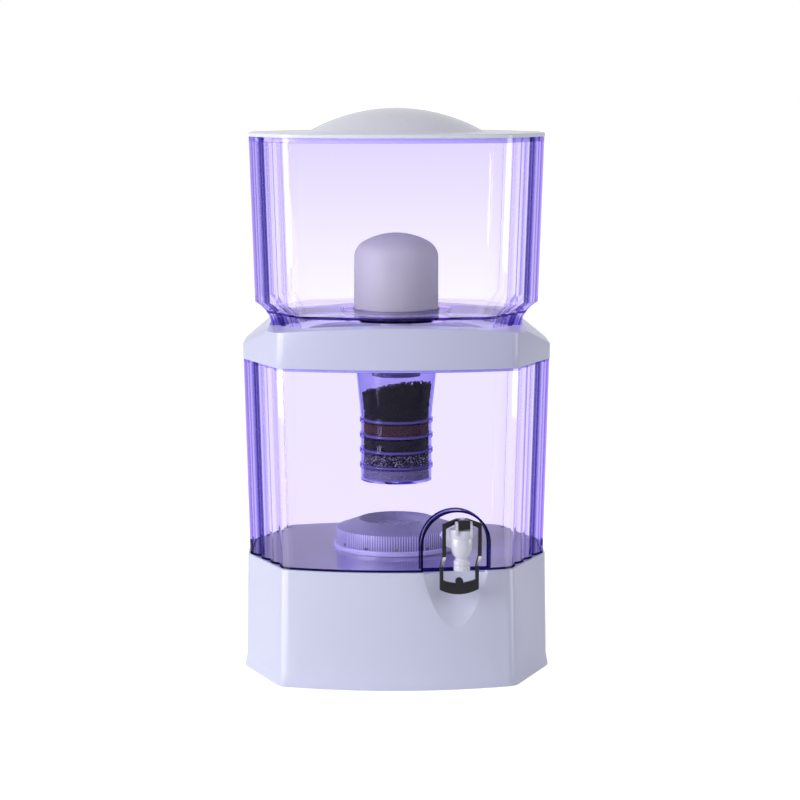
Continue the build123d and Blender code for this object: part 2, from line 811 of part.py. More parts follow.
with BuildPart() as tap_body:
    with BuildSketch(side_on(0.0)):
        with BuildLine():
            Polyline(
                at_spout(0, body_bottom),
                at_spout(nozzle_radius, body_bottom),
                at_spout(nozzle_radius, nozzle_middle - nozzle_groove),
                at_spout(nozzle_radius - nozzle_groove, nozzle_middle),
                at_spout(nozzle_radius, nozzle_middle + nozzle_groove),
                at_spout(nozzle_radius, nozzle_top - nozzle_groove),
                at_spout(nozzle_radius - nozzle_groove, nozzle_top),
                at_spout(neck_radius, nozzle_top),
                at_spout(neck_radius, neck_top_height),
            )
            TangentArc(at_spout(neck_radius, neck_top_height), at_spout(bulb_radius, bulb_top), tangent=(1, 1))
            Polyline(
                at_spout(bulb_radius, bulb_top),
                at_spout(bulb_radius, body_top),
                at_spout(0, body_top),
                at_spout(0, body_bottom),
            )
        make_face()
    revolve(axis=spout_axis)
    with BuildSketch(facing(-wall - shank_tail)):
        with Locations((0, shank_height)):
            Circle(shank_radius)
    extrude(amount=wall + shank_tail + tap_washer + shank_flange)
    with BuildSketch(facing(tap_washer)):
        with Locations((0, shank_height)):
            Circle(shank_flange_radius)
    extrude(amount=shank_flange)
    with BuildSketch(facing(tap_washer + shank_flange)):
        with Locations((0, shank_height)):
            Circle(shank_neck_radius)
    extrude(amount=tap_reach - tap_washer - shank_flange)
    with BuildSketch(level(body_top)):
        with Locations((0, -tap_reach)):
            Circle(chamber_radius)
    extrude(amount=-chamber_depth, mode=Mode.SUBTRACT)
    with BuildSketch(level(body_top)):
        with Locations((0, -tap_reach)):
            Circle(nozzle_bore_radius)
    extrude(amount=-body_height, mode=Mode.SUBTRACT)
    with BuildSketch(facing(-wall - shank_tail)):
        with Locations((0, shank_height)):
            Circle(shank_bore_radius)
    extrude(amount=wall + shank_tail + tap_reach, mode=Mode.SUBTRACT)


def shank_ring(start, thickness, outer):
    """Round washer on the shank, from a distance out of the niche's back wall."""
    with BuildPart() as ring:
        with BuildSketch(facing(start)):
            with Locations((0, shank_height)):
                Circle(outer)
                Circle(shank_radius + thread_clearance, mode=Mode.SUBTRACT)
        extrude(amount=thickness)
    return ring


tap_outer_washer = shank_ring(0.0, tap_washer, tap_washer_radius)
tap_inner_washer = shank_ring(-wall, -tap_washer, tap_washer_radius)
with BuildPart() as tap_lock_nut:
    with BuildSketch(facing(-wall - tap_washer)):
        with Locations((0, shank_height)):
            RegularPolygon(tap_nut_flats / 2, 6, major_radius=False)
            Circle(shank_radius + thread_clearance, mode=Mode.SUBTRACT)
    extrude(amount=-tap_nut_height)

# Bonnet with the two ears that hold the lever's pin
bonnet_top = body_top + bonnet_height
pivot_out = tap_reach + pivot_ahead
pivot_height = bonnet_top + pivot_above
ear_inner = hub_half_width + ear_gap
ear_middle = ear_inner + ear_thickness / 2
with BuildPart() as tap_bonnet:
    with BuildSketch(level(body_top)):
        with Locations((0, -tap_reach)):
            Circle(bonnet_radius)
    extrude(amount=bonnet_height)
    fillet(tap_bonnet.faces().sort_by(Axis.Z)[-1].edges(), bonnet_height / 6)
    with BuildSketch(level(body_top)):
        with Locations((0, -tap_reach)):
            Circle(bonnet_radius)
            Circle(bonnet_radius - bonnet_groove, mode=Mode.SUBTRACT)
    extrude(amount=bonnet_groove, mode=Mode.SUBTRACT)
    for across in (-ear_middle, ear_middle):
        with BuildSketch(side_on(across)):
            with Locations((pivot_out, pivot_height)):
                Circle(ear_half_depth)
            with Locations((pivot_out, (bonnet_top + pivot_height - bonnet_height / 2) / 2)):
                Rectangle(2 * ear_half_depth, pivot_height - bonnet_top + bonnet_height / 2)
        extrude(amount=ear_thickness / 2, both=True)
    with BuildSketch(side_on(0.0)):
        with Locations((pivot_out, pivot_height)):
            Circle(pivot_radius + pivot_running)
    extrude(amount=2 * bonnet_radius, both=True, mode=Mode.SUBTRACT)
    with BuildSketch(level(body_top)):
        with Locations((0, -tap_reach)):
            Circle(valve_rod_radius + valve_rod_clearance)
    extrude(amount=bonnet_height, mode=Mode.SUBTRACT)

with BuildPart() as pivot_pin:
    with BuildSketch(side_on(0.0)):
        with Locations((pivot_out, pivot_height)):
            Circle(pivot_radius)
    extrude(amount=ear_inner + ear_thickness, both=True)

# Valve: seal, stem with a slotted head, spring
seal_top = chamber_bottom + valve_seal_thickness
disc_top = seal_top + valve_disc
with BuildPart() as valve_seal:
    with BuildSketch(level(chamber_bottom)):
        with Locations((0, -tap_reach)):
            Circle(valve_seal_radius)
    extrude(amount=valve_seal_thickness)

head_bottom = pivot_height - hub_half_height
head_top = pivot_height + hub_half_height
with BuildPart() as valve_stem:
    with BuildSketch(level(seal_top)):
        with Locations((0, -tap_reach)):
            Circle(valve_disc_radius)
    extrude(amount=valve_disc)
    with BuildSketch(level(disc_top)):
        with Locations((0, -tap_reach)):
            Circle(valve_rod_radius)
    extrude(amount=head_bottom - disc_top + 1.0)
    with BuildSketch(level(head_bottom)):
        with Locations((0, -tap_reach)):
            Rectangle(2 * head_half_width, 2 * head_half_depth)
    extrude(amount=2 * hub_half_height)
    with BuildSketch(side_on(0.0)):
        with Locations((tap_reach, pivot_height)):
            SlotCenterToCenter(head_half_depth / 2, 2 * (link_radius + link_play))
    extrude(amount=2 * head_half_width, both=True, mode=Mode.SUBTRACT)


def biarc(start, start_dir, end, end_dir):
    """Two arcs that leave start along start_dir and reach end along end_dir."""
    chord = end - start
    sum_dir = start_dir + end_dir
    spread = 2 * (1 - start_dir.dot(end_dir))
    along = chord.dot(sum_dir)
    reach = (sqrt(along**2 + spread * chord.dot(chord)) - along) / spread
    joint = (start + end + (start_dir - end_dir) * reach) / 2
    joint_dir = (joint - start - start_dir * reach).normalized()
    TangentArc(start, joint, tangent=start_dir)
    TangentArc(joint, end, tangent=joint_dir)


spring_bottom = disc_top + spring_wire_radius + spring_end_gap
spring_top = body_top - spring_wire_radius - spring_end_gap
spring_pitch = (spring_top - spring_bottom) / spring_turns
spring_centre = niche_back + tap_out * tap_reach


def spring_point(turn):
    """Point of the spring's centre line after a number of turns."""
    angle = 2 * pi * turn
    return spring_centre + Vector(
        spring_mean_radius * cos(angle), spring_mean_radius * sin(angle), spring_bottom + spring_pitch * turn
    )


def spring_direction(turn):
    """Direction of the spring's centre line after a number of turns."""
    angle = 2 * pi * turn
    circle = 2 * pi * spring_mean_radius
    return Vector(-circle * sin(angle), circle * cos(angle), spring_pitch).normalized()


with BuildPart() as valve_spring:
    with BuildLine() as spring_path:
        for index in range(2 * spring_turns):
            first = index / 2
            last = first + 0.5
            biarc(spring_point(first), spring_direction(first), spring_point(last), spring_direction(last))
    with BuildSketch(Plane(origin=spring_point(0), z_dir=spring_direction(0))):
        Circle(spring_wire_radius)
    sweep(path=spring_path.line)
print("spring gap between turns", round(spring_pitch - 2 * spring_wire_radius, 3))

# Lever: hub on the pivot, beam, two legs and a curved pad
lever_rear = tap_reach - lever_depth / 2
lever_front = lever_rear + lever_depth
beam_top = head_top
leg_top = beam_top - beam_fall
pad_bottom = pivot_height - pad_drop
leg_inner = lever_half_width - leg_width
bend_top = pivot_height - bend_drop
bend_bottom = bend_top - bend_height
pad_rear = lever_rear - bend_back
pad_side = pad_bottom + pad_bow
leg_middle = lever_half_width - leg_width / 2
with BuildPart() as tap_lever:
    with BuildSketch(facing(lever_rear)):
        with BuildLine():
            Polyline(
                (-hub_half_width, beam_top),
                (hub_half_width, beam_top),
                (lever_half_width, leg_top),
                (lever_half_width, leg_top - beam_height),
                (leg_inner, leg_top - beam_height),
                (hub_half_width, beam_top - beam_height),
                (-hub_half_width, beam_top - beam_height),
                (-leg_inner, leg_top - beam_height),
                (-lever_half_width, leg_top - beam_height),
                (-lever_half_width, leg_top),
                close=True,
            )
        make_face()
    extrude(amount=lever_depth)
    for across in (-leg_middle, leg_middle):
        with BuildSketch(side_on(across)):
            with BuildLine():
                Polyline(
                    (lever_rear, leg_top - beam_height),
                    (lever_rear, bend_top),
                    (pad_rear, bend_bottom),
                    (pad_rear, pad_side),
                    (pad_rear + lever_depth, pad_side),
                    (pad_rear + lever_depth, bend_bottom),
                    (lever_front, bend_top),
                    (lever_front, leg_top - beam_height),
                    close=True,
                )
            make_face()
        extrude(amount=leg_width / 2, both=True)
    with BuildSketch(facing(pad_rear)):
        with BuildLine():
            ThreePointArc((-lever_half_width, pad_side), (0, pad_bottom), (lever_half_width, pad_side))
            Line((lever_half_width, pad_side), (lever_half_width, pad_side + pad_height))
            ThreePointArc(
                (lever_half_width, pad_side + pad_height),
                (0, pad_bottom + pad_height),
                (-lever_half_width, pad_side + pad_height),
            )
            Line((-lever_half_width, pad_side + pad_height), (-lever_half_width, pad_side))
        make_face()
        with Locations((0, pad_bottom + pad_height + pad_knob_rise)):
            Circle(pad_knob_radius)
    extrude(amount=lever_depth)
    with BuildSketch(side_on(0.0)):
        with Locations(((lever_rear + pivot_out + hub_front) / 2, pivot_height)):
            Rectangle(pivot_out + hub_front - lever_rear, 2 * hub_half_height)
    extrude(amount=hub_half_width, both=True)
    with BuildSketch(level(head_bottom - beam_height)):
        with Locations((0, -tap_reach)):
            Rectangle(2 * (head_half_width + head_gap), 2 * (head_half_depth + 5 * head_gap))
    extrude(amount=4 * hub_half_height, mode=Mode.SUBTRACT)
    with BuildSketch(side_on(0.0)):
        with Locations((pivot_out, pivot_height)):
            Circle(pivot_radius + pivot_running)
        with Locations((tap_reach, pivot_height)):
            Circle(link_radius)
    extrude(amount=2 * hub_half_width, both=True, mode=Mode.SUBTRACT)

with BuildPart() as link_pin:
    with BuildSketch(side_on(0.0)):
        with Locations((tap_reach, pivot_height)):
            Circle(link_radius)
    extrude(amount=hub_half_width, both=True)

# Bright plates on the legs' sloping runs
slope_normal = Vector(bend_height, -bend_back).normalized() * trim_thickness
with BuildPart() as lever_trim:
    for across in (-leg_middle, leg_middle):
        with BuildSketch(side_on(across)):
            with BuildLine():
                Polyline(
                    (lever_front, bend_top),
                    (lever_front - bend_back, bend_bottom),
                    (lever_front - bend_back + slope_normal.X, bend_bottom + slope_normal.Y),
                    (lever_front + slope_normal.X, bend_top + slope_normal.Y),
                    close=True,
                )
            make_face()
        extrude(amount=leg_width / 2, both=True)

nodes = {
    "base_stand": base_stand,
    "lower_tank": lower_tank,
    "collar": collar,
    "upper_tank": upper_tank,
    "lid": lid,
    "dome_washer": dome_washer,
    "ceramic_base_cap": ceramic_base_cap,
    "ceramic_dome": ceramic_dome,
    "dome_lock_nut": dome_lock_nut,
    "cartridge_cup": cartridge_cup,
    "cartridge_cap": cartridge_cap,
    "inlet_strainer": inlet_strainer,
    "carbon_bed": carbon_bed,
    "mineral_case_base": mineral_case_base,
    "mineral_case_cover": mineral_case_cover,
    "mineral_stones": mineral_stones,
    "tap_body": tap_body,
    "tap_outer_washer": tap_outer_washer,
    "tap_inner_washer": tap_inner_washer,
    "tap_lock_nut": tap_lock_nut,
    "tap_bonnet": tap_bonnet,
    "pivot_pin": pivot_pin,
    "valve_seal": valve_seal,
    "valve_stem": valve_stem,
    "valve_spring": valve_spring,
    "tap_lever": tap_lever,
    "link_pin": link_pin,
    "lever_trim": lever_trim,
}
nodes.update({f"filter_pad_{index + 1}": pad for index, pad in enumerate(filter_pads)})
nodes.update(dict(zip(bed_names, media_beds)))

for node, piece in nodes.items():
    piece.part.label = node
    export_step(piece.part, f"parts/{node}.step")
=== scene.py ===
"""Looks of a gravity water filter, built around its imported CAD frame."""
import math
import random

import bpy
from mathutils import Euler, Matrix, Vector


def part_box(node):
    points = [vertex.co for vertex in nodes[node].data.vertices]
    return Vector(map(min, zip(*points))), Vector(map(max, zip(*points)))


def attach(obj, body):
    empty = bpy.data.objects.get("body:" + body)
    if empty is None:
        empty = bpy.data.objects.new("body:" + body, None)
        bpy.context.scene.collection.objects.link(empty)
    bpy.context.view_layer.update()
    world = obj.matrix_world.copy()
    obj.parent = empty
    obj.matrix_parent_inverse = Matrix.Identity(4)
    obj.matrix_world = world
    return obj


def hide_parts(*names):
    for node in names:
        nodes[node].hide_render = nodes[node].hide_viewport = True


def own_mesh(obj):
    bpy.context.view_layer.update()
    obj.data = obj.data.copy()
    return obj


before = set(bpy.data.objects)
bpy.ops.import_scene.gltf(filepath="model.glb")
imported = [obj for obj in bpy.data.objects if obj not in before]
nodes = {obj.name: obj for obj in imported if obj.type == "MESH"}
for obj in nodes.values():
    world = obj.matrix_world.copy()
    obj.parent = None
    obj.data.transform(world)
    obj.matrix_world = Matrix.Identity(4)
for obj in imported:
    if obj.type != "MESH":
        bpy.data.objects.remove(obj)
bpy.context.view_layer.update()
MM = 0.001
MERGE_DISTANCE = 0.002 * MM
RIM_ROUND = 1.5 * MM
BUMP_DEPTH = 0.4 * MM


# Small helpers
def deselect():
    bpy.ops.object.select_all(action="DESELECT")


def make_active(obj):
    deselect()
    obj.select_set(True)
    bpy.context.view_layer.objects.active = obj


def in_edit(obj):
    make_active(obj)
    bpy.ops.object.mode_set(mode="EDIT")
    bpy.ops.mesh.select_all(action="SELECT")


def out_of_edit():
    bpy.ops.object.mode_set(mode="OBJECT")


def settle(obj):
    """Puts the object's place into its mesh."""
    make_active(obj)
    bpy.ops.object.transform_apply(location=True, rotation=True, scale=True)


def smooth(obj, degrees=30):
    make_active(obj)
    bpy.ops.object.shade_smooth_by_angle(angle=math.radians(degrees))


def soften(obj, width, degrees=30, segments=2):
    """Rounds the edges of a piece by a bevel."""
    make_active(obj)
    bevel = obj.modifiers.new("soft_edges", "BEVEL")
    bevel.width = width
    bevel.segments = segments
    bevel.limit_method = "ANGLE"
    bevel.angle_limit = math.radians(degrees)
    bevel.harden_normals = False
    bpy.ops.object.modifier_apply(modifier=bevel.name)


def round_rim(obj, on_rim, width):
    """Rounds the edges that on_rim picks, by their middle and the faces beside them."""
    mesh = obj.data
    beside = {}
    for face in mesh.polygons:
        for key in face.edge_keys:
            beside.setdefault(key, []).append(face.normal)
    weights = mesh.attributes.new("bevel_weight_edge", "FLOAT", "EDGE")
    for edge in mesh.edges:
        sides = beside.get(edge.key, [])
        middle = sum((mesh.vertices[index].co for index in edge.vertices), Vector()) / 2
        if len(sides) == 2 and on_rim(middle, *sides):
            weights.data[edge.index].value = 1.0
    make_active(obj)
    bevel = obj.modifiers.new("round_rim", "BEVEL")
    bevel.width = width
    bevel.segments = 3
    bevel.limit_method = "WEIGHT"
    bpy.ops.object.modifier_apply(modifier=bevel.name)


def dressed(node, body, material, edge=0.0, degrees=28, dissolve=0.3, rim=None):
    """A merged, smooth copy of a CAD node, with soft edges, that stands for it."""
    source = nodes[node]
    obj = source.copy()
    obj.data = source.data.copy()
    obj.name = node + "_skin"
    obj.data.name = obj.name
    for key in list(obj.keys()):
        if key.startswith("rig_"):
            del obj[key]
    obj.parent = None
    bpy.context.scene.collection.objects.link(obj)
    in_edit(obj)
    bpy.ops.mesh.remove_doubles(threshold=MERGE_DISTANCE)
    bpy.ops.mesh.dissolve_limited(angle_limit=math.radians(dissolve))
    out_of_edit()
    if rim:
        round_rim(obj, rim, RIM_ROUND)
    if edge:
        soften(obj, edge, degrees)
    smooth(obj, degrees)
    obj.data.materials.clear()
    obj.data.materials.append(material)
    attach(obj, body)
    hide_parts(node)
    return obj


# Shader node groups shared by several materials
def new_group(name, inputs, outputs):
    group = bpy.data.node_groups.new(name, "ShaderNodeTree")
    for label, kind, value in inputs:
        socket = group.interface.new_socket(name=label, in_out="INPUT", socket_type=kind)
        socket.default_value = value
    for label, kind in outputs:
        group.interface.new_socket(name=label, in_out="OUTPUT", socket_type=kind)
    return group, group.nodes.new("NodeGroupInput"), group.nodes.new("NodeGroupOutput")


def add_node(tree, kind, **values):
    node = tree.nodes.new(kind)
    for key, value in values.items():
        if key in node.inputs:
            node.inputs[key].default_value = value
        else:
            setattr(node, key, value)
    return node


def math_step(tree, operation, first, second=None, third=None):
    """One sum in a material. Each value is a number or another node's output."""
    node = add_node(tree, "ShaderNodeMath", operation=operation)
    for socket, value in zip(node.inputs, (first, second, third)):
        if value is None:
            continue
        if isinstance(value, (int, float)):
            socket.default_value = value
        else:
            tree.links.new(value, socket)
    return node.outputs[0]


# Colour sockets of a mix node, which share their names with its other sockets
MIX_FIRST = 6
MIX_SECOND = 7
MIX_RESULT = 2


def mix_colour(tree, factor, first, second):
    """A blend of two colours. Each is a colour or another node's output."""
    node = add_node(tree, "ShaderNodeMix", data_type="RGBA")
    tree.links.new(factor, node.inputs["Factor"])
    for index, value in ((MIX_FIRST, first), (MIX_SECOND, second)):
        if isinstance(value, bpy.types.NodeSocket):
            tree.links.new(value, node.inputs[index])
        else:
            node.inputs[index].default_value = value
    return node.outputs[MIX_RESULT]


def moulded_skin_group():
    """Slow tone drift, uneven gloss and a fine moulding texture for plastics and ceramic."""
    group, given, result = new_group(
        "moulded_skin",
        [
            ("Colour", "NodeSocketColor", (0.8, 0.8, 0.8, 1)),
            ("Drift Colour", "NodeSocketColor", (0.7, 0.7, 0.7, 1)),
            ("Drift", "NodeSocketFloat", 0.3),
            ("Roughness", "NodeSocketFloat", 0.3),
            ("Roughness Spread", "NodeSocketFloat", 0.08),
            ("Grain Scale", "NodeSocketFloat", 900.0),
        ],
        [("Colour", "NodeSocketColor"), ("Roughness", "NodeSocketFloat"), ("Height", "NodeSocketFloat")],
    )
    links = group.links
    coords = add_node(group, "ShaderNodeTexCoord")
    slow = add_node(group, "ShaderNodeTexNoise", Scale=9.0, Detail=3.0, Roughness=0.5)
    fine = add_node(group, "ShaderNodeTexNoise", Detail=2.0, Roughness=0.6)
    links.new(coords.outputs["Object"], slow.inputs["Vector"])
    links.new(coords.outputs["Object"], fine.inputs["Vector"])
    links.new(given.outputs["Grain Scale"], fine.inputs["Scale"])
    amount = math_step(group, "MULTIPLY", slow.outputs["Fac"], given.outputs["Drift"])
    tone = mix_colour(group, amount, given.outputs["Colour"], given.outputs["Drift Colour"])
    centred = math_step(group, "SUBTRACT", slow.outputs["Fac"], 0.5)
    spread = given.outputs["Roughness Spread"]
    rough = math_step(group, "MULTIPLY_ADD", centred, spread, given.outputs["Roughness"])
    links.new(tone, result.inputs["Colour"])
    links.new(rough, result.inputs["Roughness"])
    links.new(fine.outputs["Fac"], result.inputs["Height"])
    return group


PIT_ROUGHNESS = 0.25


def grain_tone_group():
    """Tone, gloss and pitting of grains and stones, from a tone that each grain has of its own."""
    group, given, result = new_group(
        "grain_tone",
        [
            ("Dark", "NodeSocketColor", (0.1, 0.1, 0.1, 1)),
            ("Light", "NodeSocketColor", (0.3, 0.3, 0.3, 1)),
            ("Tone", "NodeSocketFloat", 0.5),
            ("Pits", "NodeSocketFloat", 1800.0),
            ("Roughness", "NodeSocketFloat", 0.6),
        ],
        [("Colour", "NodeSocketColor"), ("Roughness", "NodeSocketFloat"), ("Height", "NodeSocketFloat")],
    )
    links = group.links
    coords = add_node(group, "ShaderNodeTexCoord")
    pits = add_node(group, "ShaderNodeTexNoise", Detail=3.0, Roughness=0.6)
    links.new(coords.outputs["Object"], pits.inputs["Vector"])
    links.new(given.outputs["Pits"], pits.inputs["Scale"])
    tone = mix_colour(group, given.outputs["Tone"], given.outputs["Dark"], given.outputs["Light"])
    rough = math_step(group, "MULTIPLY_ADD", pits.outputs["Fac"], PIT_ROUGHNESS, given.outputs["Roughness"])
    links.new(tone, result.inputs["Colour"])
    links.new(rough, result.inputs["Roughness"])
    links.new(pits.outputs["Fac"], result.inputs["Height"])
    return group


moulded_skin = moulded_skin_group()
grain_tone = grain_tone_group()


# Materials
def new_material(name):
    material = bpy.data.materials.new(name)
    material.use_nodes = True
    tree = material.node_tree
    shader = tree.nodes["Principled BSDF"]
    return material, tree, shader


def adjust(material, label, value):
    """Sets one input of a material's shader."""
    material.node_tree.nodes["Principled BSDF"].inputs[label].default_value = value


def bump_into(tree, shader, height, strength):
    bump = add_node(tree, "ShaderNodeBump", Strength=strength, Distance=BUMP_DEPTH)
    tree.links.new(height, bump.inputs["Height"])
    tree.links.new(bump.outputs["Normal"], shader.inputs["Normal"])


def moulded(name, colour, drift_colour, roughness, drift=0.35, grain=900.0, bump=0.05, spread=0.08):
    material, tree, shader = new_material(name)
    skin = add_node(tree, "ShaderNodeGroup", node_tree=moulded_skin)
    skin.inputs["Colour"].default_value = (*colour, 1)
    skin.inputs["Drift Colour"].default_value = (*drift_colour, 1)
    skin.inputs["Drift"].default_value = drift
    skin.inputs["Roughness"].default_value = roughness
    skin.inputs["Roughness Spread"].default_value = spread
    skin.inputs["Grain Scale"].default_value = grain
    tree.links.new(skin.outputs["Colour"], shader.inputs["Base Color"])
    tree.links.new(skin.outputs["Roughness"], shader.inputs["Roughness"])
    bump_into(tree, shader, skin.outputs["Height"], bump)
    return material


CASE_WALL_RADIUS = 64.5 * MM
RIB_MARGIN = 0.15 * MM


def paint_rib_shade_and_highlight(material, hollow, highlight_colour):
    """Paints shade between the ribs round the mineral case, and lightens the ribs and the rim as a painted
    highlight.
    """
    tree = material.node_tree
    skin = next(node for node in tree.nodes if node.type == "GROUP")
    coords = add_node(tree, "ShaderNodeTexCoord")
    flat = add_node(tree, "ShaderNodeVectorMath", operation="MULTIPLY")
    flat.inputs[1].default_value = (1, 1, 0)
    tree.links.new(coords.outputs["Object"], flat.inputs[0])
    length = add_node(tree, "ShaderNodeVectorMath", operation="LENGTH")
    tree.links.new(flat.outputs["Vector"], length.inputs[0])
    radius = length.outputs["Value"]
    between = math_step(tree, "COMPARE", radius, CASE_WALL_RADIUS, RIB_MARGIN)
    outside = math_step(tree, "GREATER_THAN", radius, CASE_WALL_RADIUS + RIB_MARGIN)
    plain = tuple(skin.inputs["Colour"].default_value)
    # painted highlight on the ribs and the rim, painted shade in the hollows between them
    highlighted = mix_colour(tree, outside, plain, (*highlight_colour, 1))
    tree.links.new(mix_colour(tree, between, highlighted, (*hollow, 1)), skin.inputs["Colour"])


def granular(name, dark, light, roughness, pits=1800.0, bump=0.3, cells=None):
    """Grains or stones. The tone comes from the grains' own tone, or from cells where a bed is one piece."""
    material, tree, shader = new_material(name)
    grain = add_node(tree, "ShaderNodeGroup", node_tree=grain_tone)
    grain.inputs["Dark"].default_value = (*dark, 1)
    grain.inputs["Light"].default_value = (*light, 1)
    grain.inputs["Pits"].default_value = pits
    grain.inputs["Roughness"].default_value = roughness
    if cells:
        coords = add_node(tree, "ShaderNodeTexCoord")
        lumps = add_node(tree, "ShaderNodeTexVoronoi", Scale=cells)
        tree.links.new(coords.outputs["Object"], lumps.inputs["Vector"])
        tree.links.new(lumps.outputs["Color"], grain.inputs["Tone"])
    else:
        tone = add_node(tree, "ShaderNodeAttribute", attribute_name="tone")
        tree.links.new(tone.outputs["Fac"], grain.inputs["Tone"])
    tree.links.new(grain.outputs["Colour"], shader.inputs["Base Color"])
    tree.links.new(grain.outputs["Roughness"], shader.inputs["Roughness"])
    bump_into(tree, shader, grain.outputs["Height"], bump)
    return material


# Tap's niche in the lower tank, in plan and in height
TAP_TURN = math.radians(8)
TAP_OUT = Vector((math.sin(TAP_TURN), -math.cos(TAP_TURN), 0))
TAP_ACROSS = Vector((math.cos(TAP_TURN), math.sin(TAP_TURN), 0))
NICHE_BACK = Vector((59.03, -126.865, 0)) * MM
NICHE_SPRING = 151.8 * MM
NICHE_RIM = 36.0 * MM
NICHE_RIM_HALF = 1.15 * MM
NICHE_WALL = 4 * MM


def measured(tree, coords, direction):
    """How far a place lies along a direction."""
    node = add_node(tree, "ShaderNodeVectorMath", operation="DOT_PRODUCT")
    tree.links.new(coords, node.inputs[0])
    node.inputs[1].default_value = direction
    return node.outputs["Value"]


def niche_rim(tree, coords, height):
    """Mask of the arched wall round the tap's niche, where a dark line is painted as painted shade."""
    across = measured(tree, coords, TAP_ACROSS)
    out = measured(tree, coords, TAP_OUT)
    sideways = math_step(tree, "SUBTRACT", across, NICHE_BACK.dot(TAP_ACROSS))
    above = math_step(tree, "MAXIMUM", math_step(tree, "SUBTRACT", height, NICHE_SPRING), 0.0)
    square = math_step(tree, "MULTIPLY", sideways, sideways)
    apart = math_step(tree, "SQRT", math_step(tree, "MULTIPLY_ADD", above, above, square))
    rim = math_step(tree, "COMPARE", apart, NICHE_RIM, NICHE_RIM_HALF)
    front = math_step(tree, "GREATER_THAN", out, NICHE_BACK.dot(TAP_OUT) - NICHE_WALL)
    return math_step(tree, "MULTIPLY", rim, front)


# Plan of the tanks' fluted corners, and the depth of painted shade along the run of one corner
CORNER_RUN = 41 * MM
FRONT_BOW = 20 * MM
SIDE_FLAT = 38 * MM
NECK_DEPTH = 18.5 * MM
NECK_TOP = 365.5 * MM
COVE_HEIGHT = 31.5 * MM
COVE_RADIUS = (NECK_DEPTH**2 + COVE_HEIGHT**2) / (2 * NECK_DEPTH)
COVE_SHIFT = 0.416
COVE_SHORTER = 0.642
# painted dark lines of the corner grooves: a place along the corner and its depth of painted shade
GROOVE_SHADE = [
    (0.0, 0.0),
    (0.20, 0.06),
    (0.245, 0.15),
    (0.255, 0.34),
    (0.30, 0.12),
    (0.36, 0.07),
    (0.44, 0.22),
    (0.495, 0.55),
    (0.51, 0.12),
    (0.60, 0.06),
    (0.72, 0.06),
    (0.742, 0.15),
    (0.748, 0.98),
    (0.77, 0.95),
    (0.79, 0.72),
    (0.82, 0.46),
    (0.86, 0.20),
    (0.885, 0.10),
    (0.895, 0.66),
    (0.915, 0.64),
    (0.94, 0.42),
    (1.0, 0.22),
]
GROOVES_END = 1.012
GROOVE_MIDDLE = 4 * MM
GROOVE_REACH = 7 * MM
BACK_SHARE = 0.5
CHAMFER = 4 * MM
CHAMFER_MIDDLE = 2.5 * MM
CHAMFER_REACH = 5 * MM
FLAT_GLOSS = 0.85
LEVEL_FACE = 0.9


def ramp_of(tree, value, stops):
    """A colour ramp with its stops at the given places."""
    ramp = add_node(tree, "ShaderNodeValToRGB")
    while len(ramp.color_ramp.elements) < len(stops):
        ramp.color_ramp.elements.new(0.5)
    for element, (spot, colour) in zip(ramp.color_ramp.elements, stops):
        element.position = spot
        element.color = (*colour, 1)
    tree.links.new(value, ramp.inputs["Fac"])
    return ramp.outputs["Color"]


def cove_inset(tree, height):
    """How far the upper tank's neck and cove are drawn in at a height."""
    rise = math_step(tree, "MAXIMUM", math_step(tree, "SUBTRACT", height, NECK_TOP), 0.0)
    rise = math_step(tree, "MINIMUM", rise, COVE_HEIGHT)
    square = math_step(tree, "SUBTRACT", COVE_RADIUS**2, math_step(tree, "MULTIPLY", rise, rise))
    return math_step(tree, "ADD", math_step(tree, "SQRT", square), NECK_DEPTH - COVE_RADIUS)


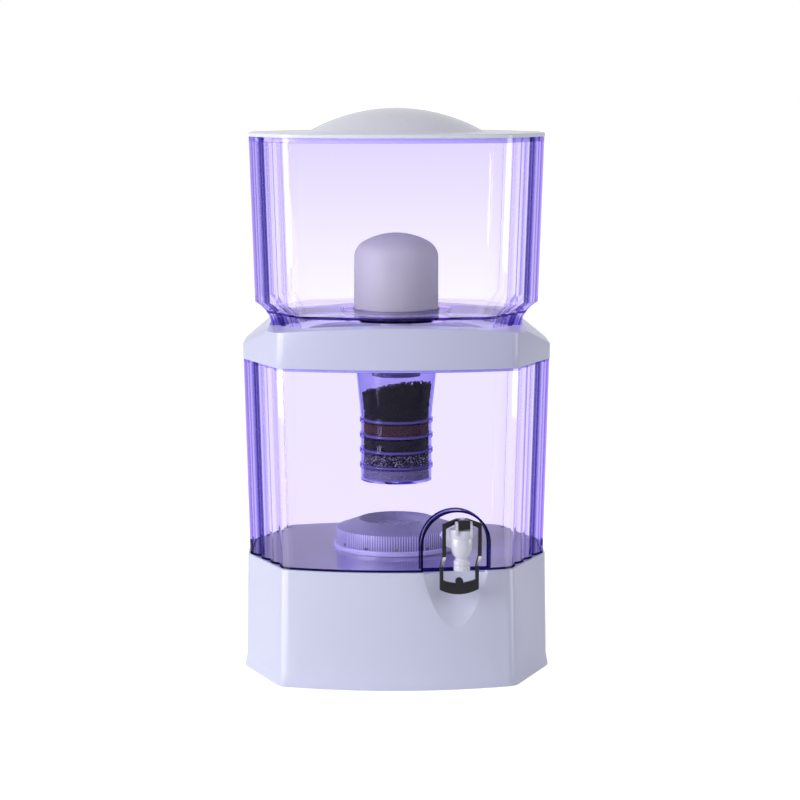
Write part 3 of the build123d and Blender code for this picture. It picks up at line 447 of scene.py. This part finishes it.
def corner_lines(tree, place, upright, tank):
    """Depth of painted shade along the grooves of the fluted corners, and a mask of the flats beside the
    panels.
    """
    half_width, half_depth, foot, rate, coved = tank
    height = place.outputs["Z"]
    above = math_step(tree, "MAXIMUM", math_step(tree, "SUBTRACT", height, foot), 0.0)
    flare = math_step(tree, "MULTIPLY", above, rate)
    wide = math_step(tree, "ABSOLUTE", place.outputs["X"])
    deep = math_step(tree, "ABSOLUTE", place.outputs["Y"])
    wide = math_step(tree, "SUBTRACT", math_step(tree, "SUBTRACT", wide, half_width - CORNER_RUN), flare)
    deep = math_step(tree, "SUBTRACT", math_step(tree, "SUBTRACT", deep, half_depth - FRONT_BOW), flare)
    fall = math_step(tree, "ADD", flare, half_depth - FRONT_BOW - SIDE_FLAT)
    length = math_step(tree, "SQRT", math_step(tree, "MULTIPLY_ADD", fall, fall, CORNER_RUN**2))
    along = math_step(tree, "MULTIPLY", wide, CORNER_RUN)
    along = math_step(tree, "SUBTRACT", along, math_step(tree, "MULTIPLY", deep, fall))
    along = math_step(tree, "DIVIDE", along, length)
    inward = math_step(tree, "MULTIPLY", deep, CORNER_RUN)
    inward = math_step(tree, "MULTIPLY_ADD", wide, fall, inward)
    inward = math_step(tree, "DIVIDE", inward, math_step(tree, "MULTIPLY", length, -1.0))
    if coved:
        inset = cove_inset(tree, height)
        inward = math_step(tree, "SUBTRACT", inward, inset)
        along = math_step(tree, "MULTIPLY_ADD", inset, -COVE_SHIFT, along)
        length = math_step(tree, "MULTIPLY_ADD", inset, -COVE_SHORTER, length)
    along = math_step(tree, "DIVIDE", along, length)
    depth = ramp_of(tree, along, [(spot, (level, level, level)) for spot, level in GROOVE_SHADE])
    near = math_step(tree, "COMPARE", inward, GROOVE_MIDDLE, GROOVE_REACH)
    near = math_step(tree, "MULTIPLY", near, math_step(tree, "LESS_THAN", along, GROOVES_END))
    near = math_step(tree, "MULTIPLY", near, upright)
    front = math_step(tree, "LESS_THAN", place.outputs["Y"], 0.0)
    share = math_step(tree, "MULTIPLY_ADD", front, 1 - BACK_SHARE, BACK_SHARE)
    near = math_step(tree, "MULTIPLY", near, share)
    run = math_step(tree, "MULTIPLY", along, length)
    flat = math_step(tree, "COMPARE", run, 0.15 * CHAMFER, 0.95 * CHAMFER)
    skin = math_step(tree, "COMPARE", inward, CHAMFER_MIDDLE, CHAMFER_REACH)
    flat = math_step(tree, "MULTIPLY", flat, skin)
    return math_step(tree, "MULTIPLY", depth, near), math_step(tree, "MULTIPLY", flat, upright)


def clear(name, ramp, shadow, absorb, density, roughness, shade_bands=(), drift=None, floor=None, tank=None,
          rim=False, ior=1.012, coat=0.05, outer_gloss=False):
    """Tinted clear plastic with painted shade: darker along the grooves, round the tap's niche, in a band at
    each given height and on a floor, and a painted shade gradient with height.

    A band is a middle height, half its height and its depth of painted shade. The drift is two heights and
    the depths of painted shade there. The floor is the height that it lies below, its depth of painted shade
    and its added gloss.
    """
    material, tree, shader = new_material(name)
    links = tree.links
    shader.inputs["Transmission Weight"].default_value = 1.0
    shader.inputs["IOR"].default_value = ior
    shader.inputs["Coat Weight"].default_value = coat
    shader.inputs["Coat Roughness"].default_value = 0.03
    shader.inputs["Coat IOR"].default_value = 1.5
    coords = add_node(tree, "ShaderNodeTexCoord")
    haze = add_node(tree, "ShaderNodeTexNoise", Scale=14.0, Detail=4.0)
    links.new(coords.outputs["Object"], haze.inputs["Vector"])
    links.new(math_step(tree, "MULTIPLY", haze.outputs["Fac"], 2 * roughness), shader.inputs["Roughness"])
    tint = add_node(tree, "ShaderNodeAttribute", attribute_name="tint")
    place = add_node(tree, "ShaderNodeSeparateXYZ")
    links.new(coords.outputs["Object"], place.inputs["Vector"])
    height = place.outputs["Z"]
    facing = add_node(tree, "ShaderNodeSeparateXYZ")
    links.new(coords.outputs["Normal"], facing.inputs["Vector"])
    level = math_step(tree, "GREATER_THAN", math_step(tree, "ABSOLUTE", facing.outputs["Z"]), LEVEL_FACE)
    upright = math_step(tree, "SUBTRACT", 1.0, level)
    # depth of painted shade, starting from the piece's own painted-shade attribute
    painted_depth = tint.outputs["Fac"]
    outside = add_node(tree, "ShaderNodeAttribute", attribute_name="outside")
    side = add_node(tree, "ShaderNodeNewGeometry")
    ahead = math_step(tree, "SUBTRACT", 1.0, side.outputs["Backfacing"])
    ahead = math_step(tree, "MULTIPLY", ahead, outside.outputs["Fac"])
    ahead = math_step(tree, "MULTIPLY", ahead, upright)
    # painted shade: dark bands where a floor or a rim meets the wall, on outer faces turned towards the view
    for middle, half, depth in shade_bands:
        near = math_step(tree, "MULTIPLY", math_step(tree, "COMPARE", height, middle, half), depth)
        painted_depth = math_step(tree, "MAXIMUM", painted_depth, math_step(tree, "MULTIPLY", near, ahead))
    # painted shade: the drift is a painted shade gradient with height on the upright walls
    if drift:
        reach = add_node(tree, "ShaderNodeMapRange")
        for label, value in zip(("From Min", "From Max", "To Min", "To Max"), drift):
            reach.inputs[label].default_value = value
        links.new(height, reach.inputs["Value"])
        shade_gradient = math_step(tree, "MULTIPLY", reach.outputs["Result"], upright)
        painted_depth = math_step(tree, "MAXIMUM", painted_depth, shade_gradient)
    if outer_gloss:
        links.new(math_step(tree, "MULTIPLY", outside.outputs["Fac"], coat), shader.inputs["Coat Weight"])
    # painted shade: the tank's floor faces are darkened, standing in for the shade under them; the mirror
    # adds real gloss
    if floor:
        top, depth, mirror = floor
        low = math_step(tree, "MULTIPLY", math_step(tree, "LESS_THAN", height, top), level)
        painted_depth = math_step(tree, "MAXIMUM", painted_depth, math_step(tree, "MULTIPLY", low, depth))
        coat = math_step(tree, "MULTIPLY_ADD", low, mirror, coat)
    # painted shade: dark lines along the corner grooves, and extra gloss on the flats beside the panels
    if tank:
        lines, flat = corner_lines(tree, place, upright, tank)
        painted_depth = math_step(tree, "MAXIMUM", painted_depth, lines)
        links.new(math_step(tree, "MULTIPLY_ADD", flat, FLAT_GLOSS, coat), shader.inputs["Coat Weight"])
    # painted shade: a dark line on the arched rim round the tap's niche
    if rim:
        painted_depth = math_step(tree, "MAXIMUM", painted_depth, niche_rim(tree, coords.outputs["Object"], height))
    links.new(ramp_of(tree, painted_depth, ramp), shader.inputs["Base Color"])
    output = tree.nodes["Material Output"]
    path = add_node(tree, "ShaderNodeLightPath")
    through = add_node(tree, "ShaderNodeBsdfTransparent")
    through.inputs["Color"].default_value = (*shadow, 1)
    mix = add_node(tree, "ShaderNodeMixShader")
    links.new(path.outputs["Is Shadow Ray"], mix.inputs["Fac"])
    links.new(shader.outputs["BSDF"], mix.inputs[1])
    links.new(through.outputs["BSDF"], mix.inputs[2])
    links.new(mix.outputs["Shader"], output.inputs["Surface"])
    inside = add_node(tree, "ShaderNodeVolumeAbsorption", Density=density)
    inside.inputs["Color"].default_value = (*absorb, 1)
    links.new(inside.outputs["Volume"], output.inputs["Volume"])
    return material


# Colours of the clear plastics by depth of painted shade: the first stop is the plastic's own colour, the
# deeper stops are painted shade
violet_and_shade_ramp = [
    (0.0, (0.99, 0.985, 1.0)),
    (0.20, (0.78, 0.72, 0.97)),
    (0.45, (0.44, 0.38, 0.87)),
    (0.70, (0.147, 0.122, 0.44)),
    (0.92, (0.036, 0.023, 0.24)),
    (1.0, (0.004, 0.0025, 0.06)),
]
cup_and_shade_ramp = [(0.0, (0.86, 0.84, 0.99)), (0.6, (0.36, 0.32, 0.80)), (1.0, (0.07, 0.05, 0.34))]
white_plastic = moulded("white_plastic", (0.70, 0.715, 0.90), (0.66, 0.675, 0.88), 0.32)
collar_plastic = moulded("collar_plastic", (0.64, 0.65, 0.87), (0.60, 0.61, 0.85), 0.32)
lid_plastic = moulded("lid_plastic", (0.85, 0.855, 0.97), (0.80, 0.805, 0.94), 0.26)
for satin in (white_plastic, collar_plastic):
    adjust(satin, "Specular IOR Level", 0.35)
violet_shade = (0.95, 0.93, 0.995)
violet_body = (0.50, 0.22, 0.95)
# painted shade bands of the upper tank: the floor's front edge and the rim under the lid
upper_shade_bands = [(0.386, 0.0014, 0.97), (0.5695, 0.0027, 0.6)]
upper_plan = (151 * MM, 137 * MM, 397 * MM, 5.6 / 175, True)
# the drift and floor values below are painted shade: a gradient with height and a darker floor
upper_violet = clear(
    "upper_violet", violet_and_shade_ramp, violet_shade, violet_body, 10.0, 0.006, upper_shade_bands,
    drift=(0.40, 0.575, 0.015, 0.13), floor=(0.39, 0.03, 0.03), tank=upper_plan,
)
# painted shade bands of the lower tank: the floor's front edge and the top under the collar
lower_shade_bands = [(0.124, 0.0024, 1.0), (0.3345, 0.0015, 0.6)]
lower_plan = (158.2 * MM, 144 * MM, 122 * MM, 5.6 / 214, False)
# the drift and floor values below are painted shade: a gradient with height and a darker floor
lower_violet = clear(
    "lower_violet", violet_and_shade_ramp, violet_shade, violet_body, 12.0, 0.006, lower_shade_bands,
    drift=(0.14, 0.34, 0.105, 0.075), floor=(0.13, 0.09, 0.85), tank=lower_plan, rim=True,
)
cup_clear = clear(
    "cup_clear", cup_and_shade_ramp, (0.90, 0.88, 0.98), (0.40, 0.32, 0.90), 60.0, 0.02, coat=0.25, outer_gloss=True,
)
# painted shade: the white ceramic is given the dim grey of its shaded look inside the tank
ceramic = moulded("ceramic", (0.29, 0.285, 0.31), (0.25, 0.245, 0.27), 0.62, grain=1600.0, bump=0.25)
dark_plastic = moulded("dark_plastic", (0.055, 0.05, 0.13), (0.04, 0.035, 0.10), 0.4)
case_plastic = moulded("case_plastic", (0.17, 0.165, 0.28), (0.14, 0.135, 0.25), 0.4)
# painted shade between the case's ribs, and a painted highlight on its ribs and rim
paint_rib_shade_and_highlight(case_plastic, (0.13, 0.125, 0.24), (0.37, 0.36, 0.58))
silicone = moulded("silicone", (0.72, 0.72, 0.76), (0.66, 0.66, 0.72), 0.5)
felt = moulded("felt", (0.16, 0.15, 0.24), (0.10, 0.095, 0.17), 0.9, grain=2600.0, bump=0.6)
carbon = granular("carbon", (0.002, 0.002, 0.004), (0.010, 0.010, 0.016), 0.45)
brown_balls = granular("brown_balls", (0.022, 0.010, 0.011), (0.13, 0.050, 0.040), 0.45)
black_balls = granular("black_balls", (0.003, 0.003, 0.006), (0.015, 0.015, 0.021), 0.4)
grey_sand = granular("grey_sand", (0.008, 0.008, 0.011), (0.55, 0.54, 0.53), 0.5)
silica = granular("silica", (0.10, 0.098, 0.12), (0.36, 0.35, 0.39), 0.5)
for dull in (carbon, brown_balls, black_balls, grey_sand):
    adjust(dull, "Specular IOR Level", 0.02)
pebbles = granular("pebbles", (0.16, 0.15, 0.15), (0.36, 0.34, 0.33), 0.6, pits=500.0, cells=160.0)
tap_white = moulded("tap_white", (0.74, 0.74, 0.86), (0.68, 0.68, 0.82), 0.2)
black_plastic = moulded("black_plastic", (0.012, 0.012, 0.016), (0.02, 0.02, 0.026), 0.3)
adjust(black_plastic, "Specular IOR Level", 0.2)
bright_trim = moulded("bright_trim", (0.55, 0.55, 0.57), (0.45, 0.45, 0.48), 0.32, spread=0.05, bump=0.02)
steel = moulded("steel", (0.55, 0.55, 0.56), (0.48, 0.48, 0.50), 0.28, grain=2200.0, bump=0.08)
for metal in (bright_trim, steel):
    adjust(metal, "Metallic", 1.0)


# Media in the cartridge: one grain of each kind, copied all over a bed's core
BED_REACH = 80 * MM
GRAIN_PITCH = 0.98
ROW_PITCH = 0.78
SHAKE_ROUND = 0.42
SHAKE_DEPTH = 0.45
SHAKE_HEIGHT = 0.3
SHAKE_TOP = 0.3
TOP_DEPTHS = (0.5, 1.2)
GRAIN_SCALES = (0.84, 1.0)
CORE_INSET = 0.9
CORE_DROP = 0.8
SCATTERED_CORE_DROP = 1.8


def crumb(size):
    """An uneven crumb of carbon or sand."""
    deselect()
    bpy.ops.mesh.primitive_ico_sphere_add(subdivisions=1, radius=0.46 * size)
    grain = bpy.context.object
    in_edit(grain)
    bpy.ops.transform.vertex_random(offset=0.09 * size, uniform=0.6, seed=4)
    bpy.ops.transform.resize(value=(1.0, 0.86, 0.78), center_override=(0, 0, 0))
    out_of_edit()
    return grain


def ball(size):
    """A pressed ball, a little flat at its poles."""
    deselect()
    bpy.ops.mesh.primitive_uv_sphere_add(segments=8, ring_count=6, radius=0.5 * size)
    grain = bpy.context.object
    in_edit(grain)
    bpy.ops.transform.resize(value=(1.0, 1.0, 0.93), center_override=(0, 0, 0))
    out_of_edit()
    return grain


def rows_round(low, size, reach, top, chance):
    """Places of grains in staggered rows round a bed, inside reach(height) and under top(spot)."""
    places = []
    height = low + 0.5 * size
    row = 0
    while height < low + BED_REACH:
        radius = reach(height) - 0.5 * size
        count = int(2 * math.pi * radius / (GRAIN_PITCH * size))
        for index in range(count):
            shake = chance.uniform(-SHAKE_ROUND, SHAKE_ROUND)
            angle = 2 * math.pi * (index + 0.5 * (row % 2) + shake) / count
            depth = radius - chance.uniform(0, SHAKE_DEPTH) * size
            lift = chance.uniform(-SHAKE_HEIGHT, SHAKE_HEIGHT) * size
            spot = Vector((depth * math.cos(angle), depth * math.sin(angle), height + lift))
            if spot.z + 0.5 * size < top(spot):
                spot.z = max(spot.z, low + 0.5 * size)
                places.append(spot)
        row += 1
        height += ROW_PITCH * size
    return places


def over_top(size, radius, top, chance):
    """Places of grains scattered over a bed's top."""
    places = []
    steps = int(radius / size)
    for across in range(-steps, steps + 1):
        for along in range(-steps, steps + 1):
            spot = Vector((across * size, along * size, 0))
            shake_across = chance.uniform(-SHAKE_TOP, SHAKE_TOP)
            shake_along = chance.uniform(-SHAKE_TOP, SHAKE_TOP)
            spot += Vector((shake_across, shake_along, 0)) * size
            if spot.length < radius - 0.5 * size:
                spot.z = top(spot) - chance.uniform(*TOP_DEPTHS) * size
                places.append(spot)
    return places


def grain_bed(node, material, make_grain, size, seed, reach, top, scattered=0.0, rare=1.0):
    """A bed's core with copies of its grain all round it and over its top.

    The scattered radius is that of the open top, if any. The higher rare is, the fewer grains are light.
    """
    grain = make_grain(size)
    chance = random.Random(seed)
    bed = dressed(node, "cartridge", material)
    low, high = map(Vector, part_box(node))
    drop = SCATTERED_CORE_DROP if scattered else CORE_DROP
    in_edit(bed)
    narrow = 1 - CORE_INSET * size / high.x
    shorter = 1 - drop * size / (high.z - low.z)
    bpy.ops.transform.resize(value=(narrow, narrow, shorter), center_override=(0, 0, low.z))
    out_of_edit()
    places = rows_round(low.z, size, reach, top, chance)
    if scattered:
        places += over_top(size, scattered, top, chance)
    shape = [vertex.co.copy() for vertex in grain.data.vertices]
    sides = [list(face.vertices) for face in grain.data.polygons]
    points = []
    faces = []
    tones = []
    for place in places:
        turn = Euler([chance.uniform(0, 2 * math.pi) for _ in range(3)]).to_matrix()
        scale = chance.uniform(*GRAIN_SCALES)
        first = len(points)
        points += [place + turn @ point * scale for point in shape]
        faces += [[first + corner for corner in side] for side in sides]
        tones += [chance.random() ** rare] * len(shape)
    bpy.data.objects.remove(grain)
    mesh = bpy.data.meshes.new(node + "_grains")
    mesh.from_pydata(points, [], faces)
    mesh.materials.append(material)
    layer = mesh.color_attributes.new("tone", "FLOAT_COLOR", "POINT")
    layer.data.foreach_set("color", [value for tone in tones for value in (tone, tone, tone, 1)])
    # the core takes the darkest tone: painted shade in the gaps between the grains
    core = bed.data.color_attributes.new("tone", "FLOAT_COLOR", "POINT")
    core.data.foreach_set("color", [0.0, 0.0, 0.0, 1.0] * len(bed.data.vertices))
    grains = bpy.data.objects.new(node + "_grains", mesh)
    bpy.context.scene.collection.objects.link(grains)
    smooth(grains, 60)
    make_active(bed)
    grains.select_set(True)
    bpy.ops.object.join()


SCOOP_LOW = 60 * MM
SCOOP_HIGH = 123.5 * MM
SCOOP_HALF_WIDTH = 50 * MM
SCOOP_CREASE = math.radians(9)
FACES_FRONT = -0.3
FACES_UP = 0.8


def on_scoop_rim(middle, first, second):
    """True on the edge where the scoop under the tap runs out of the stand's face."""
    ahead = (middle - NICHE_BACK).dot(TAP_OUT) > 1 * MM
    beside = abs((middle - NICHE_BACK).dot(TAP_ACROSS)) < SCOOP_HALF_WIDTH
    low = SCOOP_LOW < middle.z < SCOOP_HIGH
    forward = max(first.y, second.y) < FACES_FRONT
    steep = max(abs(first.z), abs(second.z)) < FACES_UP
    creased = first.angle(second) > SCOOP_CREASE
    return ahead and beside and low and forward and steep and creased


# CAD nodes with merged, softened skins
dressed("base_stand", "stand", white_plastic, 0.8 * MM, rim=on_scoop_rim)
dressed("collar", "collar", collar_plastic, 1.0 * MM)
dressed("lid", "lid", lid_plastic, 0.5 * MM)
lower_tank = dressed("lower_tank", "stand", lower_violet, 0.3 * MM, degrees=16)
upper_tank = dressed("upper_tank", "upper_tank", upper_violet, 0.3 * MM, degrees=16)
dressed("ceramic_dome", "upper_tank", ceramic, 0.8 * MM)
dressed("ceramic_base_cap", "upper_tank", dark_plastic, 0.4 * MM)
dressed("dome_lock_nut", "upper_tank", white_plastic, 0.4 * MM)
dressed("dome_washer", "upper_tank", silicone, 0.2 * MM)
cup = dressed("cartridge_cup", "cartridge", cup_clear, 0.2 * MM)
dressed("cartridge_cap", "cartridge", dark_plastic, 0.4 * MM)
dressed("inlet_strainer", "cartridge", dark_plastic, 0.2 * MM)
dressed("mineral_case_base", "mineral_case", case_plastic, 0.5 * MM)
dressed("mineral_case_cover", "mineral_case", case_plastic, 0.3 * MM)
dressed("mineral_stones", "mineral_case", pebbles, 0.5 * MM)

# Perforated plate in the mineral case's dish
DISH_RADIUS = 35.0 * MM
DISH_LOW = 145.0 * MM
DISH_HIGH = 147.0 * MM
DISH_HOLE = 2.0 * MM
DISH_RINGS = ((10.0 * MM, 6), (19.0 * MM, 12), (28.0 * MM, 18))


def dish_plate():
    """The perforated plate that closes the case's dish over the stones."""
    middle = (DISH_LOW + DISH_HIGH) / 2
    deselect()
    bpy.ops.mesh.primitive_cylinder_add(
        vertices=96, radius=DISH_RADIUS, depth=DISH_HIGH - DISH_LOW, location=(0, 0, middle))
    plate = bpy.context.object
    plate.name = "case_dish_plate"
    settle(plate)
    deselect()
    bpy.ops.mesh.primitive_cylinder_add(vertices=20, radius=DISH_HOLE, depth=4 * (DISH_HIGH - DISH_LOW))
    punch = bpy.context.object
    for ring, count in DISH_RINGS:
        for index in range(count):
            angle = 2 * math.pi * index / count
            hole = bpy.data.objects.new("hole", punch.data)
            bpy.context.scene.collection.objects.link(hole)
            hole.location = (ring * math.cos(angle), ring * math.sin(angle), middle)
            cut = plate.modifiers.new("hole", "BOOLEAN")
            cut.object = hole
            make_active(plate)
            bpy.ops.object.modifier_apply(modifier=cut.name)
            bpy.data.objects.remove(hole)
    bpy.data.objects.remove(punch)
    soften(plate, 0.25 * MM)
    smooth(plate)
    plate.data.materials.clear()
    plate.data.materials.append(case_plastic)
    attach(plate, "mineral_case")


dish_plate()

# Felt pads in the cartridge
PAD_COUNT = 5
for index in range(PAD_COUNT):
    dressed(f"filter_pad_{index + 1}", "cartridge", felt, 0.2 * MM)

# Inside of the cup and the tilted top of the carbon
BED_RADIUS = 36.1 * MM
TAPER_START = 269.8 * MM
TAPER_RATE = 0.101
CARBON_HEIGHT = 301.1 * MM
CARBON_TILT = math.radians(8)
CARBON_TOP_RADIUS = 37.5 * MM


def straight(height):
    return BED_RADIUS


def tapered(height):
    """Inside of the cup, which widens above its straight part."""
    return BED_RADIUS + TAPER_RATE * max(height - TAPER_START, 0)


def carbon_top(spot):
    return CARBON_HEIGHT + spot.x * math.tan(CARBON_TILT)


def level_bed(node, material, make_grain, size, seed, rare=1.0):
    """A bed with a flat top under its felt disc."""
    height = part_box(node)[1][2] + 0.01 * MM
    grain_bed(node, material, make_grain, size, seed, straight, lambda spot: height, rare=rare)


grain_bed(
    "carbon_bed", carbon, crumb, 3.2 * MM, 11, tapered, carbon_top, scattered=CARBON_TOP_RADIUS,
)
level_bed("brown_ball_bed", brown_balls, ball, 2.6 * MM, 12)
level_bed("black_ball_bed", black_balls, ball, 2.6 * MM, 13)
level_bed("grey_sand_bed", grey_sand, crumb, 1.7 * MM, 14, rare=3.0)
level_bed("silica_bed", silica, crumb, 1.4 * MM, 15)

# Tap
dressed("tap_body", "stand", tap_white, 0.4 * MM)
dressed("tap_bonnet", "stand", tap_white, 0.3 * MM)
dressed("tap_lock_nut", "stand", tap_white, 0.4 * MM)
dressed("tap_outer_washer", "stand", silicone, 0.2 * MM)
dressed("tap_inner_washer", "stand", silicone, 0.2 * MM)
dressed("pivot_pin", "stand", steel, 0.15 * MM)
spring = dressed("valve_spring", "stand", steel)
dressed("valve_stem", "valve", tap_white, 0.2 * MM)
dressed("valve_seal", "valve", silicone, 0.2 * MM)
dressed("tap_lever", "lever", black_plastic, 0.5 * MM)
dressed("link_pin", "lever", steel, 0.15 * MM)
dressed("lever_trim", "lever", bright_trim, 0.2 * MM)

# Spring: the middle of its top end, and a mesh of its own
spring_low, spring_high = (Vector(corner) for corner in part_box("valve_spring"))
spring_end = (spring_low + spring_high) / 2
spring_end.z = spring_high.z
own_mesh(spring)


# Depth of painted shade on the cup, and the outer faces of the hollow pieces
RINGS_TOP = 275 * MM
RINGS_RADIUS = 38.75 * MM
CUP_HEAD = 300 * MM
UNDERSIDE = -0.2
RING_SHADE = 0.45
RING_UNDERSIDE_SHADE = 1.0
UNDERSIDE_SHADE = 0.5
HEAD_SHADE = 0.2


def paint_cup_shade(obj):
    """Paints shade on the cup: darker on its rings, most of all below them, on its foot and towards its top.
    """
    mesh = obj.data
    layer = mesh.color_attributes.new("tint", "FLOAT_COLOR", "CORNER")
    for face in mesh.polygons:
        middle = face.center
        radius = math.hypot(middle.x, middle.y)
        below = face.normal.z < UNDERSIDE
        value = 0.0
        if middle.z < RINGS_TOP and radius > RINGS_RADIUS:
            value = RING_UNDERSIDE_SHADE if below else RING_SHADE
        elif below:
            value = UNDERSIDE_SHADE
        elif middle.z > CUP_HEAD:
            value = HEAD_SHADE
        for index in face.loop_indices:
            layer.data[index].color = (value, value, value, 1)


def mark_outside(obj):
    """Marks the faces of a hollow piece that look away from its axis."""
    mesh = obj.data
    layer = mesh.attributes.new("outside", "FLOAT", "FACE")
    for face in mesh.polygons:
        away = face.normal.x * face.center.x + face.normal.y * face.center.y
        layer.data[face.index].value = 1.0 if away > 0 else 0.0


# painted shade on the cup's rings, undersides, foot and top
paint_cup_shade(cup)
for hollow in (cup, lower_tank, upper_tank):
    mark_outside(hollow)



# Floor, backdrop light and lamps
FLOOR_DROP = 0.5 * MM
FLOOR_GLOW = 0.72
LAMP_AIM = (0, 0, 0.3)
STRIP_HEIGHT = 1.9


def seen_rays(tree):
    """Mask of the rays that reach the camera straight, through clear walls or from a reflection."""
    path = add_node(tree, "ShaderNodeLightPath")
    onward = math_step(tree, "MAXIMUM", path.outputs["Is Camera Ray"], path.outputs["Is Transmission Ray"])
    return math_step(tree, "MAXIMUM", onward, path.outputs["Is Glossy Ray"])


bpy.ops.mesh.primitive_plane_add(size=160.0, location=(0, 0, -FLOOR_DROP))
floor = bpy.context.object
floor.name = "floor"
settle(floor)
floor_paint, floor_tree, floor_shader = new_material("floor_paint")
floor_shader.inputs["Base Color"].default_value = (0.92, 0.92, 0.92, 1)
floor_shader.inputs["Roughness"].default_value = 0.9
floor_shader.inputs["Emission Color"].default_value = (1, 1, 1, 1)
floor_glow = math_step(floor_tree, "MULTIPLY", seen_rays(floor_tree), FLOOR_GLOW)
floor_tree.links.new(floor_glow, floor_shader.inputs["Emission Strength"])
floor.data.materials.append(floor_paint)

world = bpy.data.worlds.new("studio")
bpy.context.scene.world = world
world.use_nodes = True
sky = world.node_tree
sky.nodes.clear()
sky_out = sky.nodes.new("ShaderNodeOutputWorld")
seen = add_node(sky, "ShaderNodeBackground", Strength=1.0)
seen.inputs["Color"].default_value = (1, 1, 1, 1)
lit = add_node(sky, "ShaderNodeBackground", Strength=0.33)
lit.inputs["Color"].default_value = (0.97, 0.97, 1.0, 1)
sky_mix = add_node(sky, "ShaderNodeMixShader")
sky.links.new(seen_rays(sky), sky_mix.inputs["Fac"])
sky.links.new(lit.outputs[0], sky_mix.inputs[1])
sky.links.new(seen.outputs[0], sky_mix.inputs[2])
sky.links.new(sky_mix.outputs[0], sky_out.inputs["Surface"])


def softbox(name, place, aim, width, height, power, colour=(1, 1, 1)):
    lamp = bpy.data.lights.new(name, "AREA")
    lamp.color = colour
    lamp.shape = "RECTANGLE"
    lamp.size = width
    lamp.size_y = height
    lamp.energy = power
    obj = bpy.data.objects.new(name, lamp)
    bpy.context.scene.collection.objects.link(obj)
    obj.location = place
    obj.rotation_euler = (Vector(aim) - Vector(place)).to_track_quat("-Z", "Y").to_euler()
    return obj


def gloss_strip(name, place, width, power):
    """A tall strip beside the object that shows only as a highlight."""
    strip = softbox(name, place, (0, 0, place[2]), width, STRIP_HEIGHT, power)
    strip.visible_diffuse = False
    strip.visible_transmission = False
    return strip


def mirrored_only(strip):
    """Lets a strip show through clear walls, but only in a reflection on what is behind them."""
    strip.visible_transmission = True
    strip.data.use_nodes = True
    tree = strip.data.node_tree
    glow = tree.nodes["Emission"]
    path = add_node(tree, "ShaderNodeLightPath")
    mirrored = math_step(tree, "GREATER_THAN", path.outputs["Glossy Depth"], 0.5)
    tree.links.new(mirrored, glow.inputs["Strength"])


softbox("key", (-1.9, -1.4, 0.95), LAMP_AIM, 1.2, 1.2, 32)
softbox("fill", (1.7, -1.5, 1.3), LAMP_AIM, 1.0, 1.4, 5.2, (0.86, 0.87, 1.0))
softbox("top", (0.0, 0.2, 2.4), LAMP_AIM, 1.6, 1.6, 0.7)
gloss_strip("left_strip", (-1.58, -0.25, 0.6), 0.5, 28)
gloss_strip("right_strip", (1.58, -0.25, 0.6), 0.5, 21)
mirrored_only(gloss_strip("window", (-1.27, -0.80, 0.5), 0.42, 60))

# Camera at the photograph's viewing angle
lens = bpy.data.cameras.new("camera")
lens.sensor_width = 36.0
lens.lens = 104.85
camera = bpy.data.objects.new("camera", lens)
bpy.context.scene.collection.objects.link(camera)
camera.location = (-28.9 * MM, -2517.4 * MM, 621.0 * MM)
camera.rotation_euler = (math.pi / 2 - 0.1324, 0, -0.0131)
bpy.context.scene.camera = camera
bpy.context.scene.view_settings.view_transform = "Standard"
